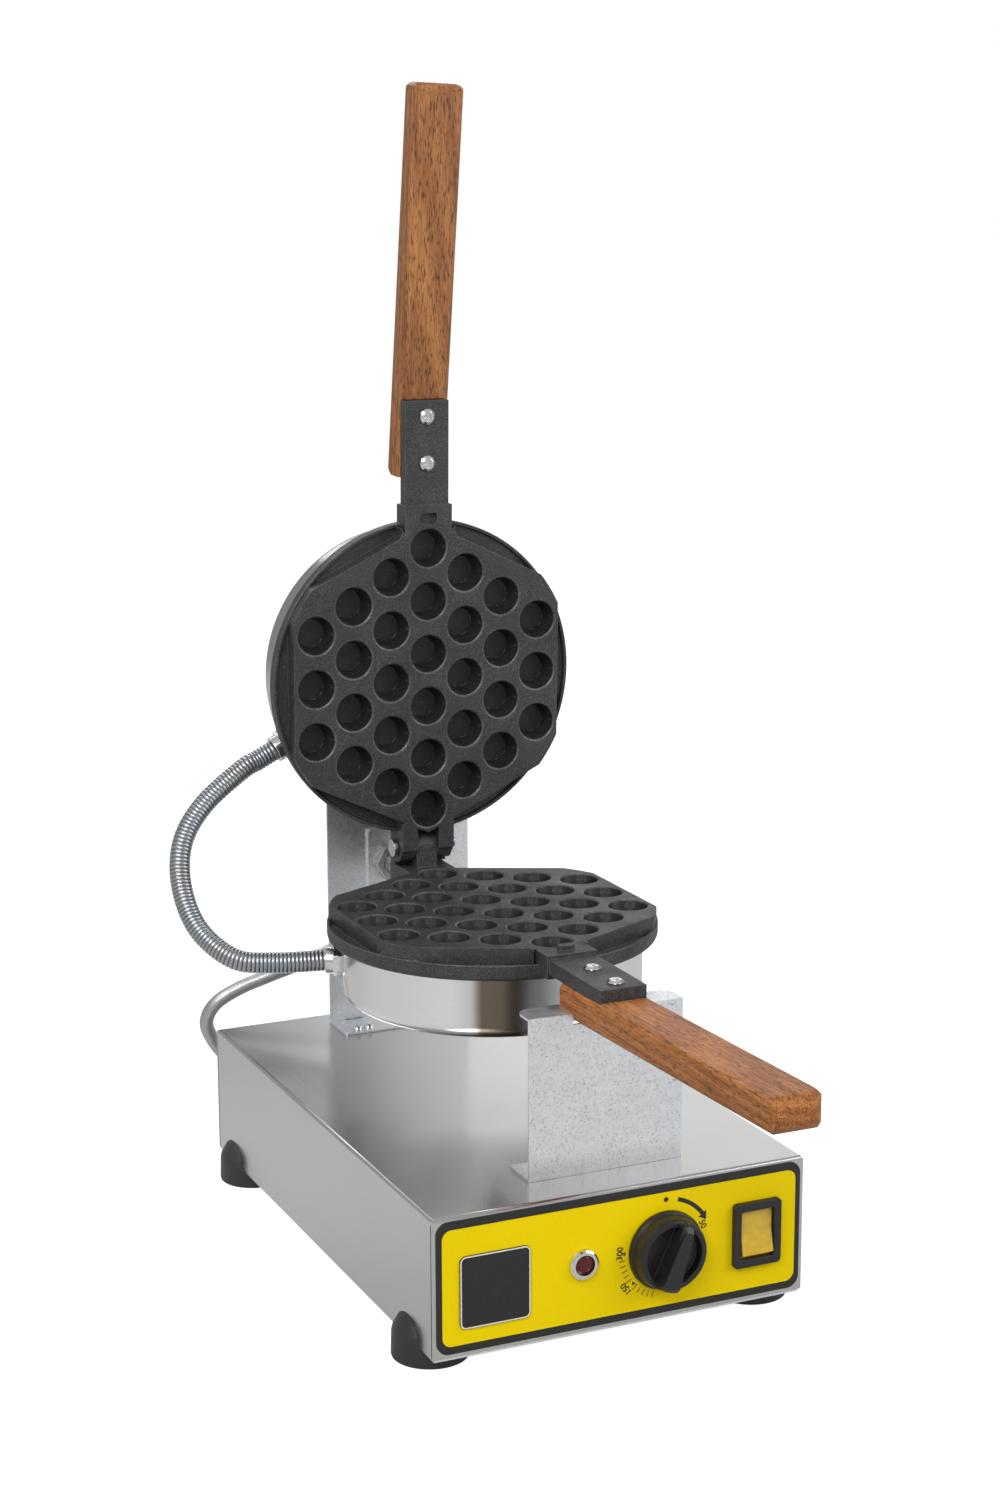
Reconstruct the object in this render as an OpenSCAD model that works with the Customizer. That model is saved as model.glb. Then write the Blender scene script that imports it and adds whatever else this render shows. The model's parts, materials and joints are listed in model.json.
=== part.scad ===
// Electric bubble waffle iron: a folded steel base with a control panel, two sheet brackets, and a pair
// of hinged cast moulds with heater pans, wooden handles and metal conduits.
// Millimetres. The origin is the centre of the bottom plate's underside; +Z is up, -Y is the front.

/* [Base] */
// Width of the base
base_w = 250; // [220:1:320]
// Depth of the base, front to back
base_d = 390; // [340:1:460]
// Height of the base's folded walls
base_h = 88; // [76:1:120]
// Sheet thickness of the base
sheet_t = 1.2; // [0.8:0.1:2]
// Outer radius of the folded top edges
fold_r = 2.5; // [2.2:0.1:6]
// Open seam left at each vertical corner
seam_w = 1.2; // [0.6:0.1:2]
// Width of the flanges folded in under the side walls
flange_w = 15; // [12:1:20]
// Thickness of the bottom plate
bottom_t = 2; // [1.6:0.1:3]
// Width of the ventilation slots in the bottom plate
vent_w = 4; // [3:0.5:6]
// Length of the ventilation slots in the bottom plate
vent_len = 60; // [40:1:80]

/* [Feet] */
// Radius of the feet
foot_r = 24; // [20:0.5:28]
// Height of the feet below the bottom plate
foot_h = 12; // [9:0.5:20]
// Height that a foot climbs up the side wall
foot_rise = 15; // [8:0.5:22]
// Distance from a side wall to the foot's centre
foot_side = 15; // [12:0.5:18]
// Distance from the front wall to the foot's centre
foot_front = 39; // [32:1:60]
// Distance from the rear wall to the foot's centre
foot_rear = 32; // [28:1:60]
// Shaft radius of the foot screws
foot_screw_r = 2.5; // [2:0.25:3]

/* [Control panel] */
// Thickness of the printed panel
panel_t = 0.8; // [0.5:0.1:1.5]
// Gap between the panel's edge and the edges of the front wall
panel_edge = 2.5; // [2:0.5:5]
// Corner radius of the panel
panel_r = 8; // [5:0.5:12]
// Height of the lamp, knob and switch above the bottom plate
controls_z = 46; // [40:1:50]
// Sideways place of the bare badge
badge_x = -85; // [-92:1:-78]
// Width of the bare badge
badge_w = 46; // [36:1:50]
// Height of the bare badge
badge_h = 46; // [36:1:52]
// Sideways place of the pilot lamp
lamp_x = -27; // [-32:1:-20]
// Outer radius of the lamp's bezel
bezel_r = 9.8; // [9:0.2:12]
// Outer radius of the lamp's barrel
barrel_r = 7.5; // [6.5:0.1:8]
// Sideways place of the thermostat knob
knob_x = 28; // [22:1:34]
// Radius of the knob's skirt
knob_r = 25; // [21:0.5:27]
// Height of the knob's drum over the panel
knob_h = 13; // [10:0.5:18]
// Height of the knob's grip ridge above its drum
ridge_h = 8; // [5:0.5:12]
// How far the knob stands past its off mark, clockwise
knob_turned = 20; // [0:1:60]
// Radius of the thermostat's shaft
shaft_r = 3; // [2.5:0.1:4]
// Sideways place of the power switch
switch_x = 91; // [84:1:96]
// Width of the switch's frame
switch_w = 33; // [30:0.5:38]
// Height of the switch's frame
switch_h = 42; // [38:0.5:48]
// How far the switch's frame stands off the panel
switch_lip = 4; // [2.5:0.5:6]
// Angle of the rocker, top pressed in
rocker_tilt = 8; // [4:1:12]

/* [Front bracket] */
// Width of the front bracket
front_w = 104; // [90:1:130]
// Distance from the front wall to the front bracket
front_gap = 30; // [24:1:40]
// Sideways shift of the front bracket from the handle's cradle
front_shift = 3.5; // [0:0.5:6]
// Sheet thickness of the two brackets
bracket_t = 1.6; // [1.2:0.1:2.5]
// Depth of the front bracket's foot flange
front_foot = 28; // [22:1:34]
// Depth of the flange folded back along the front bracket's top
front_lip = 20; // [10:1:24]
// How deep the handle's cradle is cut into the front bracket
cradle_depth = 7; // [3:0.5:10]

/* [Rear bracket] */
// Width of the rear bracket
rear_w = 108; // [90:1:130]
// Distance from the rear wall to the rear bracket's face
rear_gap = 24; // [20:1:28]
// Sideways shift of the rear bracket from the pivot tube
rear_shift = 6.5; // [0:0.5:10]
// Height of the rear bracket above the base
rear_h = 170; // [155:1:180]
// Depth of the rear bracket's foot flange
rear_foot = 30; // [24:1:36]

/* [Moulds] */
// Height of the lower baking face above the base's top
face_rise = 127; // [122:1:140]
// Forward shift of the moulds' centre from the base's centre
mould_shift = 5.5; // [0:0.5:10]
// Distance between cells of one column
cell_pitch = 36; // [34:0.5:36.5]
// Distance between two columns of cells
column_pitch = 26.9; // [26:0.1:27.2]
// Radius of a cell at the baking face
cell_r = 13; // [11:0.25:13.5]
// Radius of a cell's flat floor
cell_floor_r = 9.5; // [7:0.25:10.5]
// Depth of a cell
cell_depth = 12.5; // [9:0.5:14]
// Radius of the rounded hexagonal plate
plate_r = 107; // [106:0.25:107.5]
// Half the distance across the plate's side flats
flat_x = 96.5; // [95.5:0.25:98]
// Height of the plate above the round ring
plate_t = 8.5; // [7:0.5:13]
// Radius of the round ring under the plate
ring_r = 108; // [107.75:0.25:108.5]
// Height of the round ring
ring_t = 10.5; // [9:0.5:14]
// Width of the ring's raised rim
rim_w = 2; // [1.5:0.25:3]
// Depth of the channel between the plate's flats and the rim
channel = 3; // [1.5:0.5:4]
// Gap left between the two baking faces when closed
face_gap = 0.6; // [0.4:0.1:1.2]
// Width of the neck that carries a handle's tang
neck_w = 34; // [32:0.5:40]
// Distance from the mould's centre to the neck's front step
neck_end = 119; // [117:1:126]
// Thickness of the neck
neck_t = 15; // [13:0.5:18]
// Width of the tang
tang_w = 31; // [28:0.5:33]
// Thickness of the tang
tang_t = 9.5; // [8:0.5:11]
// Step from the baking face down to the tang
tang_step = 2.5; // [1.5:0.25:4]
// Distance from the mould's centre to the tang's end
tang_end = 188; // [186:1:200]

/* [Hinge] */
// Distance from the mould's centre back to the hinge pin
hinge_back = 118.8; // [118:0.2:121]
// Height of the hinge pin above the lower baking face
hinge_rise = 13.5; // [13.2:0.1:14.5]
// Radius of the hinge pin
pin_r = 4; // [3:0.25:4.5]
// Outer radius of the hinge barrels
hinge_r = 10; // [8.5:0.25:10.2]
// Width of the lower mould's central knuckle
knuckle_w = 15; // [12:0.5:18]
// Width of each ear on the upper mould
ear_w = 11; // [9:0.5:12]
// Radial clearance between pin and bores
pin_fit = 0.05; // [0.02:0.01:0.1]
// Side gap between the knuckle and each ear
ear_gap = 0.4; // [0.3:0.1:0.8]
// Angle at which the open lid stands
lid_open = 88.7; // [88:0.1:90]

/* [Heater pans] */
// Outer radius of the pans
pan_r = 98; // [92:0.5:98.5]
// Depth of the pans below the ring
pan_depth = 41; // [38:1:44]
// Outer radius of the pans' rounded bottom edge
pan_edge = 9; // [6:0.5:14]
// Sheet thickness of the pans
pan_t = 0.8; // [0.6:0.1:1.2]
// Radius of the heating element's tube
heater_r = 4.2; // [3.5:0.1:5]
// Radius of the heating element's ring
heater_ring = 62; // [50:1:68]
// Thickness of the insulation disc
wool_t = 12; // [8:1:14]
// Radius of the pan screws' circle
pan_screw_ring = 40; // [34:1:46]

/* [Handles] */
// Length of a wooden handle
handle_len = 256; // [200:1:300]
// Width of a wooden handle
handle_w = 34.5; // [30:0.5:36]
// Thickness of a wooden handle
handle_t = 19.5; // [17:0.5:24]
// Chamfer along a handle's edges
handle_bevel = 2.5; // [1.5:0.5:5]
// Distance from the mould's centre to a handle's near end
handle_start = 136; // [134:1:140]
// Slope of a handle towards the other handle, in degrees
handle_tilt = 1.7; // [0:0.1:2]
// How far the upper wooden handle sits askew on its tang, in degrees
upper_skew = 2.4; // [0:0.1:3]
// Distance from the mould's centre to the first handle screw
grip_screw_start = 146.5; // [144:0.5:150]
// Distance between the two handle screws
grip_screw_pitch = 31; // [28:0.5:34]
// Shaft radius of the handle screws
grip_screw_r = 2.5; // [2:0.25:3]
// Head radius of the handle screws
grip_head_r = 5.3; // [4.5:0.1:6.5]

/* [Pivot and conduits] */
// Outer radius of the pivot tube
tube_r = 8; // [7:0.25:8.5]
// Wall of the pivot tube
tube_wall = 2; // [1.5:0.25:3]
// Depth of the pivot tube's axis below the lower baking face
tube_drop = 11; // [10:0.5:12]
// Radius of the ribbed conduit between the pans
ribbed_r = 7.1; // [6:0.1:7.4]
// Radius of the smooth supply conduit
smooth_r = 5.2; // [4.5:0.1:5.4]
// Width across the flats of the conduit glands
gland_af = 19; // [18:0.5:20]
// Length of the conduit glands
gland_len = 12; // [10:0.5:18]
// Depth of the conduit glands below the ring
gland_drop = 18; // [14:0.5:20]

/* [Hidden] */
$fn = 64;
base_top = bottom_t + base_h;
front_y = -base_d / 2;
rear_y = base_d / 2;
face_z = base_top + face_rise;
mould_y = -mould_shift;
hinge_y = mould_y + hinge_back;
hinge_z = face_z + hinge_rise;
lid_face_z = face_z + face_gap;
panel_y = front_y - panel_t;
mould_t = plate_t + ring_t;
plate_apex = plate_r;
plate_side_y = plate_apex - flat_x * 0.48;
ear_in = knuckle_w / 2 + ear_gap;
ear_out = ear_in + ear_w;
lug_end = hinge_back + 16;
lug_t = tube_drop + tube_r + 3;
grip_screw_places = [for (k = [0, 1]) -grip_screw_start - k * grip_screw_pitch];
column_cells = [3, 4, 5, 6, 5, 4, 3];
tube_z = face_z - tube_drop;
web_y = rear_y - rear_gap;
elbow_y = rear_y + 5;
elbow_leg = 20;
tube_end_y = rear_y - 4;
pivot_plate_t = 3;
nut_t = 6;
nut_af = 24;
cut = 1;
loose = 0.3;
seat = 0.02;
grip_depth = 14;
// the two irons' screw heads clear each other when the lid is closed
grip_head_h = tang_step - 0.2;

foot_places = [
    [-base_w / 2 + foot_side, front_y + foot_front],
    [base_w / 2 - foot_side, front_y + foot_front],
    [-base_w / 2 + foot_side, rear_y - foot_rear],
    [base_w / 2 - foot_side, rear_y - foot_rear]];
bottom_screw_places = [for (side = [-1, 1], y = [-90, 0, 90]) [side * (base_w / 2 - flange_w / 2), y]];

// Route of the ribbed conduit, from the upper pan's gland round the left to the lower pan's gland
ribbed_angle = 26;
lower_gland_angle = 155;
lid_route = [[-110, 136, 296], [-122, 134, 291], [-151, 129, 271], [-169, 121, 249], [-175, 108, 223],
    [-171, 87, 198], [-155, 64, 182], [-132, 53, 179]];

// Route of the supply conduit, from the rear wall's gland up to the pivot tube's elbow,
// with each point's y measured from the rear wall
supply_gland_x = -98;
supply_gland_z = 48;
supply_route = [for (p = [[-99, 22, 49], [-108, 28, 58], [-119, 26, 73], [-125, 22, 89], [-119, 18, 103],
    [-102, 15, 113], [-80, 11, 121], [-57, 8, 128], [-33, 6, 136], [-12, 5, 148]]) p + [0, rear_y, 0]];

// ---- Shared shapes ----

// Flat rectangle with round corners, centred
module rounded_rect(w, h, r) {
    square([w - 2 * r, h], center = true);
    square([w, h - 2 * r], center = true);
    for (sx = [-1, 1], sy = [-1, 1])
        translate([sx * (w / 2 - r), sy * (h / 2 - r)]) circle(r = r);
}

// Long slot with round ends, centred, along X
module slot(len, w) {
    square([len - w, w], center = true);
    for (side = [-1, 1]) translate([side * (len - w) / 2, 0]) circle(r = w / 2);
}

// A plate standing in the XZ plane, its front face at the given y and its thickness towards +Y
module upright(y, t) {
    translate([0, y + t, 0]) rotate([90, 0, 0]) linear_extrude(height = t) children();
}

// A cylinder along +Y
module rod_y(r, y1, y2) {
    translate([0, y1, 0]) rotate([-90, 0, 0]) cylinder(r = r, h = y2 - y1);
}

// Straight prism with six sides, along +Z
module hex_prism(af, h) {
    cylinder(r = af / sqrt(3), h = h, $fn = 6);
}

// Pan-head screw with a cross recess: head above z = 0, shaft below
module pan_screw(head_r, head_h, shaft_r, len) {
    difference() {
        union() {
            cylinder(r = head_r, h = head_h * 0.4);
            translate([0, 0, head_h * 0.4]) cylinder(r1 = head_r, r2 = head_r * 0.7, h = head_h * 0.6);
            translate([0, 0, -len]) cylinder(r = shaft_r, h = len + head_h * 0.2);
        }
        for (turn = [0, 90]) rotate([0, 0, turn])
            translate([0, 0, head_h]) cube([head_r * 1.1, head_r * 0.24, head_h * 0.9], center = true);
    }
}

// Concave fillet piece that fills the corner at the origin, in the first quadrant
module fillet_2d(r) {
    difference() {
        translate([-0.5, -0.5]) square(r + 0.5);
        translate([r, r]) circle(r = r);
    }
}

// ---- Tube swept along a smooth route through hand-placed points ----

function smooth_point(p, i, t) =
    let (n = len(p) - 1,
        a = p[max(i - 1, 0)],
        b = p[i],
        c = p[min(i + 1, n)],
        d = p[min(i + 2, n)])
    0.5 * (2 * b + (c - a) * t + (2 * a - 5 * b + 4 * c - d) * t * t + (3 * b - a - 3 * c + d) * t * t * t);
function smooth_route(p, steps) = concat(
    [for (i = [0 : len(p) - 2], k = [0 : steps - 1]) smooth_point(p, i, k / steps)],
    [p[len(p) - 1]]);
function unit(v) = v / norm(v);
function heading(q, i, first, last) =
    i == 0 ? first : i == len(q) - 1 ? last : unit(q[i + 1] - q[i - 1]);

module swept_tube(route, r, sides, steps, first, last, side_hint) {
    q = smooth_route(route, steps);
    count = len(q);
    rings = [for (i = [0 : count - 1])
        let (t = heading(q, i, first, last), u = unit(cross(t, side_hint)), v = cross(t, u))
        for (k = [0 : sides - 1]) q[i] + r * (cos(360 * k / sides) * u + sin(360 * k / sides) * v)];
    skin = [for (i = [0 : count - 2], k = [0 : sides - 1])
        let (a = i * sides + k, b = i * sides + (k + 1) % sides)
        [a, a + sides, b + sides, b]];
    start_cap = [[for (k = [0 : sides - 1]) k]];
    end_cap = [[for (k = [sides - 1 : -1 : 0]) (count - 1) * sides + k]];
    polyhedron(points = rings, faces = concat(skin, start_cap, end_cap), convexity = 6);
}

// ---- Placing ----

// Places a mould piece, drawn round the centre of its baking face with its back towards -Z, as the lower one
module as_lower() {
    translate([0, mould_y, face_z]) children();
}

// Places the same piece as the upper one, lid open
module as_upper() {
    translate([0, hinge_y, hinge_z]) rotate([-lid_open, 0, 0]) translate([0, -hinge_y, -hinge_z])
        translate([0, mould_y, lid_face_z]) rotate([0, 180, 0]) children();
}

// The same move for a direction and for a point
function lid_way(v) =
    [-v[0], v[1] * cos(lid_open) - v[2] * sin(lid_open), -v[1] * sin(lid_open) - v[2] * cos(lid_open)];
function lid_point(p) = [0, hinge_y, hinge_z] + lid_way(p - [0, hinge_back, face_gap - hinge_rise]);

// ---- Base ----

// Outline of the folded shell seen from the front or the side: square feet, rounded top corners
module shell_outline(w, z1, z2, r) {
    translate([-w / 2, z1]) square([w, z2 - z1 - r]);
    translate([-w / 2 + r, z1]) square([w - 2 * r, z2 - z1]);
    for (side = [-1, 1]) translate([side * (w / 2 - r), z2 - r]) circle(r = r);
}

module shell_block(inset, z1) {
    r = fold_r - inset;
    intersection() {
        rotate([90, 0, 0]) linear_extrude(height = base_d - 2 * inset, center = true)
            shell_outline(base_w - 2 * inset, z1, base_top - inset, r);
        rotate([90, 0, 90]) linear_extrude(height = base_w, center = true)
            shell_outline(base_d - 2 * inset, z1, base_top - inset, r);
    }
}

module base_shell() {
    lean = sheet_t + fold_r;
    color("silver") difference() {
        union() {
            difference() {
                shell_block(0, bottom_t);
                shell_block(sheet_t, bottom_t - cut);
            }
            // flanges and corner gussets folded in at the bottom
            for (side = [-1, 1]) {
                translate([side * (base_w / 2 - flange_w / 2), 0, bottom_t + sheet_t / 2])
                    cube([flange_w, base_d - 2 * lean, sheet_t], center = true);
            }
            for (p = foot_places)
                translate([p[0] - sign(p[0]) * foot_r / 2, p[1], bottom_t + sheet_t / 2])
                    cube([foot_r * 2, foot_r * 2, sheet_t], center = true);
        }
        // open seams beside the vertical corners
        for (sx = [-1, 1], sy = [-1, 1])
            translate([sx * (base_w / 2 - sheet_t / 2), sy * (rear_y - sheet_t - seam_w / 2), 0])
                translate([-sheet_t / 2 - cut, -seam_w / 2, 0])
                    cube([sheet_t + 2 * cut, seam_w, base_top - fold_r - sheet_t]);
        for (p = foot_places) translate([p[0], p[1], 0]) cylinder(r = foot_screw_r + 0.2, h = 10);
        for (p = bottom_screw_places) translate([p[0], p[1], 0]) cylinder(r = 1.6, h = 10);
        for (p = bracket_screw_places()) translate([p[0], p[1], base_top - 10]) cylinder(r = 2.2, h = 20);
        // lamp, shaft and switch openings in the front wall
        translate([lamp_x, 0, controls_z]) rod_y(barrel_r + 0.2, front_y - cut, front_y + 10);
        translate([knob_x, 0, controls_z]) rod_y(shaft_r + 2, front_y - cut, front_y + 10);
        translate([switch_x, front_y, controls_z])
            cube([switch_hole_w(), 10, switch_hole_h()], center = true);
        // rear wall: supply gland and cord gland
        translate([supply_gland_x, 0, supply_gland_z]) rod_y(6, rear_y - 10, rear_y + cut);
        translate([cord_gland_x(), 0, cord_gland_z()]) rod_y(8, rear_y - 10, rear_y + cut);
    }
}

function switch_hole_w() = switch_w - 7;
function switch_hole_h() = switch_h - 8;
function cord_gland_x() = base_w / 2 - 40;
function cord_gland_z() = 34;
function bracket_screw_places() = concat(
    [for (side = [-1, 1]) [front_shift + side * (front_w / 2 - 14), front_y + front_gap + front_foot - 9]],
    [for (side = [-1, 1], inset = [11.5, 20])
        [rear_shift + side * (rear_w / 2 - inset), web_y - rear_foot + 6.5]]);

module bottom_plate() {
    rows = 7;
    color("gainsboro") difference() {
        translate([0, 0, bottom_t / 2]) cube([base_w - 3, base_d - 3, bottom_t], center = true);
        for (p = foot_places) translate([p[0], p[1], -cut]) cylinder(r = foot_r + 1, h = bottom_t + 2 * cut);
        for (p = bottom_screw_places) translate([p[0], p[1], 0]) {
            translate([0, 0, -cut]) cylinder(r = 1.6, h = bottom_t + 2 * cut);
            translate([0, 0, -cut]) cylinder(r = 3.2, h = cut);
            cylinder(r1 = 3.2, r2 = 1.4, h = bottom_t * 0.9);
        }
        for (side = [-1, 1], k = [0 : rows - 1])
            translate([side * base_w / 4, (k - (rows - 1) / 2) * vent_w * 3.5, -cut])
                linear_extrude(height = bottom_t + 2 * cut) slot(vent_len, vent_w);
    }
}

module bottom_screws() {
    color("silver") for (p = bottom_screw_places) translate([p[0], p[1], 0]) difference() {
        union() {
            cylinder(r1 = 3.15, r2 = 1.35, h = bottom_t * 0.9);
            cylinder(r = 1.5, h = bottom_t + sheet_t + 5);
        }
        for (turn = [0, 90]) rotate([0, 0, turn]) cube([3.2, 0.7, 1.4], center = true);
    }
}

// Conical corner foot that climbs the side wall it stands under
module foot(p) {
    top = bottom_t + foot_rise;
    top_r = foot_side;
    side = sign(p[0]);
    color("#2b2b2e") difference() {
        translate([p[0], p[1], 0]) rotate_extrude() polygon([
            [0, -foot_h], [foot_r - 1.5, -foot_h], [foot_r - 0.4, -foot_h + 0.5], [foot_r, -foot_h + 1.6],
            [foot_r - 0.4, bottom_t + 2], [foot_r - 1.2, bottom_t + foot_rise * 0.35],
            [top_r + (foot_r - top_r) * 0.5, top - foot_rise * 0.28], [top_r, top], [0, top]]);
        // room for the base's corner
        translate([p[0] - side * (foot_r * 2) + side * foot_side, p[1], bottom_t + foot_rise])
            cube([foot_r * 4, foot_r * 4, foot_rise * 2], center = true);
        translate([p[0], p[1], -foot_h - cut]) cylinder(r = 6, h = 6 + cut);
        translate([p[0], p[1], -foot_h - cut]) cylinder(r = foot_screw_r + 0.05, h = foot_h * 2);
    }
}

module foot_screws() {
    color("silver") for (p = foot_places) {
        translate([p[0], p[1], -foot_h + 6]) rotate([180, 0, 0])
            pan_screw(4.6, 3, foot_screw_r, foot_h - 6 + bottom_t + sheet_t + 7);
        translate([p[0], p[1], bottom_t + sheet_t]) difference() {
            hex_prism(8, 4);
            translate([0, 0, -cut]) cylinder(r = foot_screw_r + 0.05, h = 4 + 2 * cut);
        }
    }
}

// ---- Control panel ----

module control_panel() {
    w = base_w - 2 * panel_edge;
    h = base_h - 2 * panel_edge;
    color("gold") difference() {
        translate([0, 0, bottom_t + base_h / 2]) upright(panel_y, panel_t) rounded_rect(w, h, panel_r);
        translate([lamp_x, 0, controls_z]) rod_y(barrel_r + 0.2, panel_y - cut, front_y + cut);
        translate([knob_x, 0, controls_z]) rod_y(shaft_r + 2, panel_y - cut, front_y + cut);
        translate([switch_x, front_y, controls_z]) cube([switch_hole_w(), 10, switch_hole_h()], center = true);
    }
}

// Bare badge: a flat plate with a thin raised outline
module panel_badge() {
    rim = 1.4;
    color("#222222") translate([badge_x, 0, controls_z - 4]) difference() {
        upright(panel_y - 1, 1) rounded_rect(badge_w, badge_h, 4);
        upright(panel_y - 1 - cut, cut + 0.3) rounded_rect(badge_w - 2 * rim, badge_h - 2 * rim, 4 - rim / 2);
    }
}

module lamp_bezel() {
    lip = 3;
    color("lightgrey") translate([lamp_x, panel_y, controls_z]) rotate([-90, 0, 0]) rotate_extrude() polygon([
        [barrel_r - 1, -lip], [bezel_r - 1.6, -lip], [bezel_r - 0.5, -lip * 0.75], [bezel_r, -lip * 0.3],
        [bezel_r, 0], [barrel_r, 0], [barrel_r, 20], [barrel_r - 1, 20]]);
}

module lamp_lens() {
    dome_r = 11;
    r = barrel_r - 1 - 0.05;
    back = sqrt(dome_r * dome_r - r * r);
    color("darkred") translate([lamp_x, panel_y, controls_z]) rotate([90, 0, 0]) {
        translate([0, 0, -4]) cylinder(r = r, h = 5);
        translate([0, 0, 1 - back]) intersection() {
            sphere(r = dome_r);
            translate([0, 0, back]) cylinder(r = r, h = dome_r);
        }
    }
}

module lamp_body() {
    color("#333333") translate([lamp_x, panel_y, controls_z]) rotate([-90, 0, 0]) {
        translate([0, 0, 4]) cylinder(r = barrel_r - 1.05, h = 24);
        for (side = [-1, 1]) translate([side * 3, 0, 31]) cube([0.8, 4, 8], center = true);
    }
}

module lamp_nut() {
    color("silver") translate([lamp_x, front_y + sheet_t, controls_z]) rotate([-90, 0, 0]) difference() {
        hex_prism(barrel_r * 2 + 4, 3);
        translate([0, 0, -cut]) cylinder(r = barrel_r + 0.05, h = 3 + 2 * cut);
    }
}

module switch_frame() {
    color("#1e1e1e") translate([switch_x, 0, controls_z]) difference() {
        union() {
            upright(panel_y - switch_lip, switch_lip) rounded_rect(switch_w, switch_h, 3);
            upright(panel_y, panel_t + sheet_t + 6) rounded_rect(switch_hole_w() - 0.4, switch_hole_h() - 0.4, 1);
        }
        upright(panel_y - switch_lip - cut, cut + switch_lip + panel_t + sheet_t + 7)
            rounded_rect(switch_hole_w() - 3, switch_hole_h() - 3, 1.5);
    }
}

// Rocker: a wedge with two facets and a round back on its pivot axis
module switch_rocker() {
    w = switch_hole_w() - 4.6;
    h = switch_hole_h() - 4;
    pivot_y = panel_y + 4;
    face = switch_lip + 1.5;
    color("#e0a81c") translate([switch_x, pivot_y, controls_z]) rotate([-rocker_tilt, 0, 0])
        translate([-w / 2, 0, 0]) rotate([90, 0, 90]) linear_extrude(height = w) difference() {
            union() {
                polygon([[-face - 1.2, -h / 2 + 1.2], [-face, 0], [-face - 1.2, h / 2 - 1.2],
                    [-face + 5, h / 2 - 0.8], [-1, 5], [-1, -5], [-face + 5, -h / 2 + 0.8]]);
                circle(r = 4.5);
            }
            circle(r = 1.55);
        }
}

module switch_body() {
    w = switch_hole_w() - 4.2;
    h = switch_hole_h() - 4.2;
    back = panel_y + panel_t + sheet_t + 7;
    color("#1e1e1e") {
        translate([switch_x, back + 11, controls_z]) cube([w, 22, h], center = true);
        // side cheeks that carry the rocker's pin
        for (side = [-1, 1]) translate([switch_x + side * (switch_hole_w() / 2 - 1.75), back - 3.5, controls_z])
            cube([0.4, 7, 10], center = true);
        translate([switch_x - switch_hole_w() / 2 + 1.55, panel_y + 4, controls_z]) rotate([0, 90, 0])
            cylinder(r = 1.5, h = switch_hole_w() - 3.1);
        for (z = [-8, 0, 8], side = [-1, 1])
            translate([switch_x + side * w / 4, back + 26, controls_z + z]) cube([0.8, 8, 4.6], center = true);
    }
}

// Knob: round skirt, drum with two scooped pockets and a wedge-shaped ridge that points at the scale
module knob() {
    skirt = 4;
    drum_r = knob_r - 2.2;
    pocket_r = drum_r - 4;
    pocket = 5;
    color("#1b1b1d") translate([knob_x, panel_y - loose - 0.2, controls_z]) rotate([0, knob_turned, 0])
        rotate([90, 0, 0]) difference() {
            union() {
                difference() {
                    rotate_extrude() polygon([
                        [0, 0], [knob_r, 0], [knob_r, skirt * 0.6], [knob_r - 0.6, skirt], [drum_r + 0.6, skirt],
                        [drum_r, knob_h - 2.4], [drum_r - 0.7, knob_h - 0.7], [drum_r - 2.4, knob_h], [0, knob_h]]);
                    translate([0, 0, knob_h - pocket]) cylinder(r1 = pocket_r - 1.5, r2 = pocket_r, h = pocket + cut);
                }
                intersection() {
                    translate([0, 0, knob_h - pocket - 1]) linear_extrude(height = pocket + 1 + ridge_h)
                        polygon([[-2.6, pocket_r + 2], [2.6, pocket_r + 2], [6.5, -drum_r], [-6.5, -drum_r]]);
                    rotate_extrude() polygon([
                        [0, 0], [drum_r - 0.5, 0], [drum_r - 0.5, knob_h], [drum_r - 2, knob_h + ridge_h * 0.75],
                        [drum_r - 5, knob_h + ridge_h], [0, knob_h + ridge_h]]);
                }
            }
            // pointer line
            translate([-0.5, pocket_r + 1, knob_h - 0.6]) cube([1, drum_r, 2]);
            translate([0, 0, -cut]) cylinder(r = shaft_r + seat, h = 10 + cut);
        }
}

module knob_shaft() {
    color("silver") translate([knob_x, 0, controls_z]) rod_y(shaft_r, panel_y - loose - 10, front_y + sheet_t + 12);
}

module thermostat() {
    body_y = front_y + sheet_t;
    color("#c9c4b8") translate([knob_x, 0, controls_z]) difference() {
        union() {
            upright(body_y, 1.5) rounded_rect(44, 20, 3);
            upright(body_y + 1.5, 22) rounded_rect(32, 34, 4);
            for (side = [-1, 1]) translate([side * 9, body_y + 27, 0]) cube([0.8, 8, 6], center = true);
        }
        rod_y(shaft_r + 0.1, body_y - cut, body_y + 14);
    }
}

module terminal_block() {
    ways = 3;
    color("ivory") translate([base_w / 2 - 60, rear_y - 60, bottom_t + 10]) difference() {
        cube([ways * 12 + 6, 20, 16], center = true);
        for (k = [0 : ways - 1]) translate([(k - (ways - 1) / 2) * 12, 0, 3]) cylinder(r = 3, h = 10);
    }
}

// Empty cord gland in the rear wall
module cord_gland() {
    inner = 4;
    color("#222222") translate([cord_gland_x(), rear_y, cord_gland_z()]) rotate([-90, 0, 0]) difference() {
        union() {
            translate([0, 0, -sheet_t - 8]) cylinder(r = 7.9, h = sheet_t + 8);
            translate([0, 0, -sheet_t - 5]) hex_prism(22, 5);
            hex_prism(22, 6);
            translate([0, 0, 6]) cylinder(r = 9.5, h = 8);
            translate([0, 0, 14]) cylinder(r1 = 9.5, r2 = 6.5, h = 5);
        }
        translate([0, 0, -20]) cylinder(r = inner, h = 50);
    }
}

// ---- Brackets and pivot ----

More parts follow.
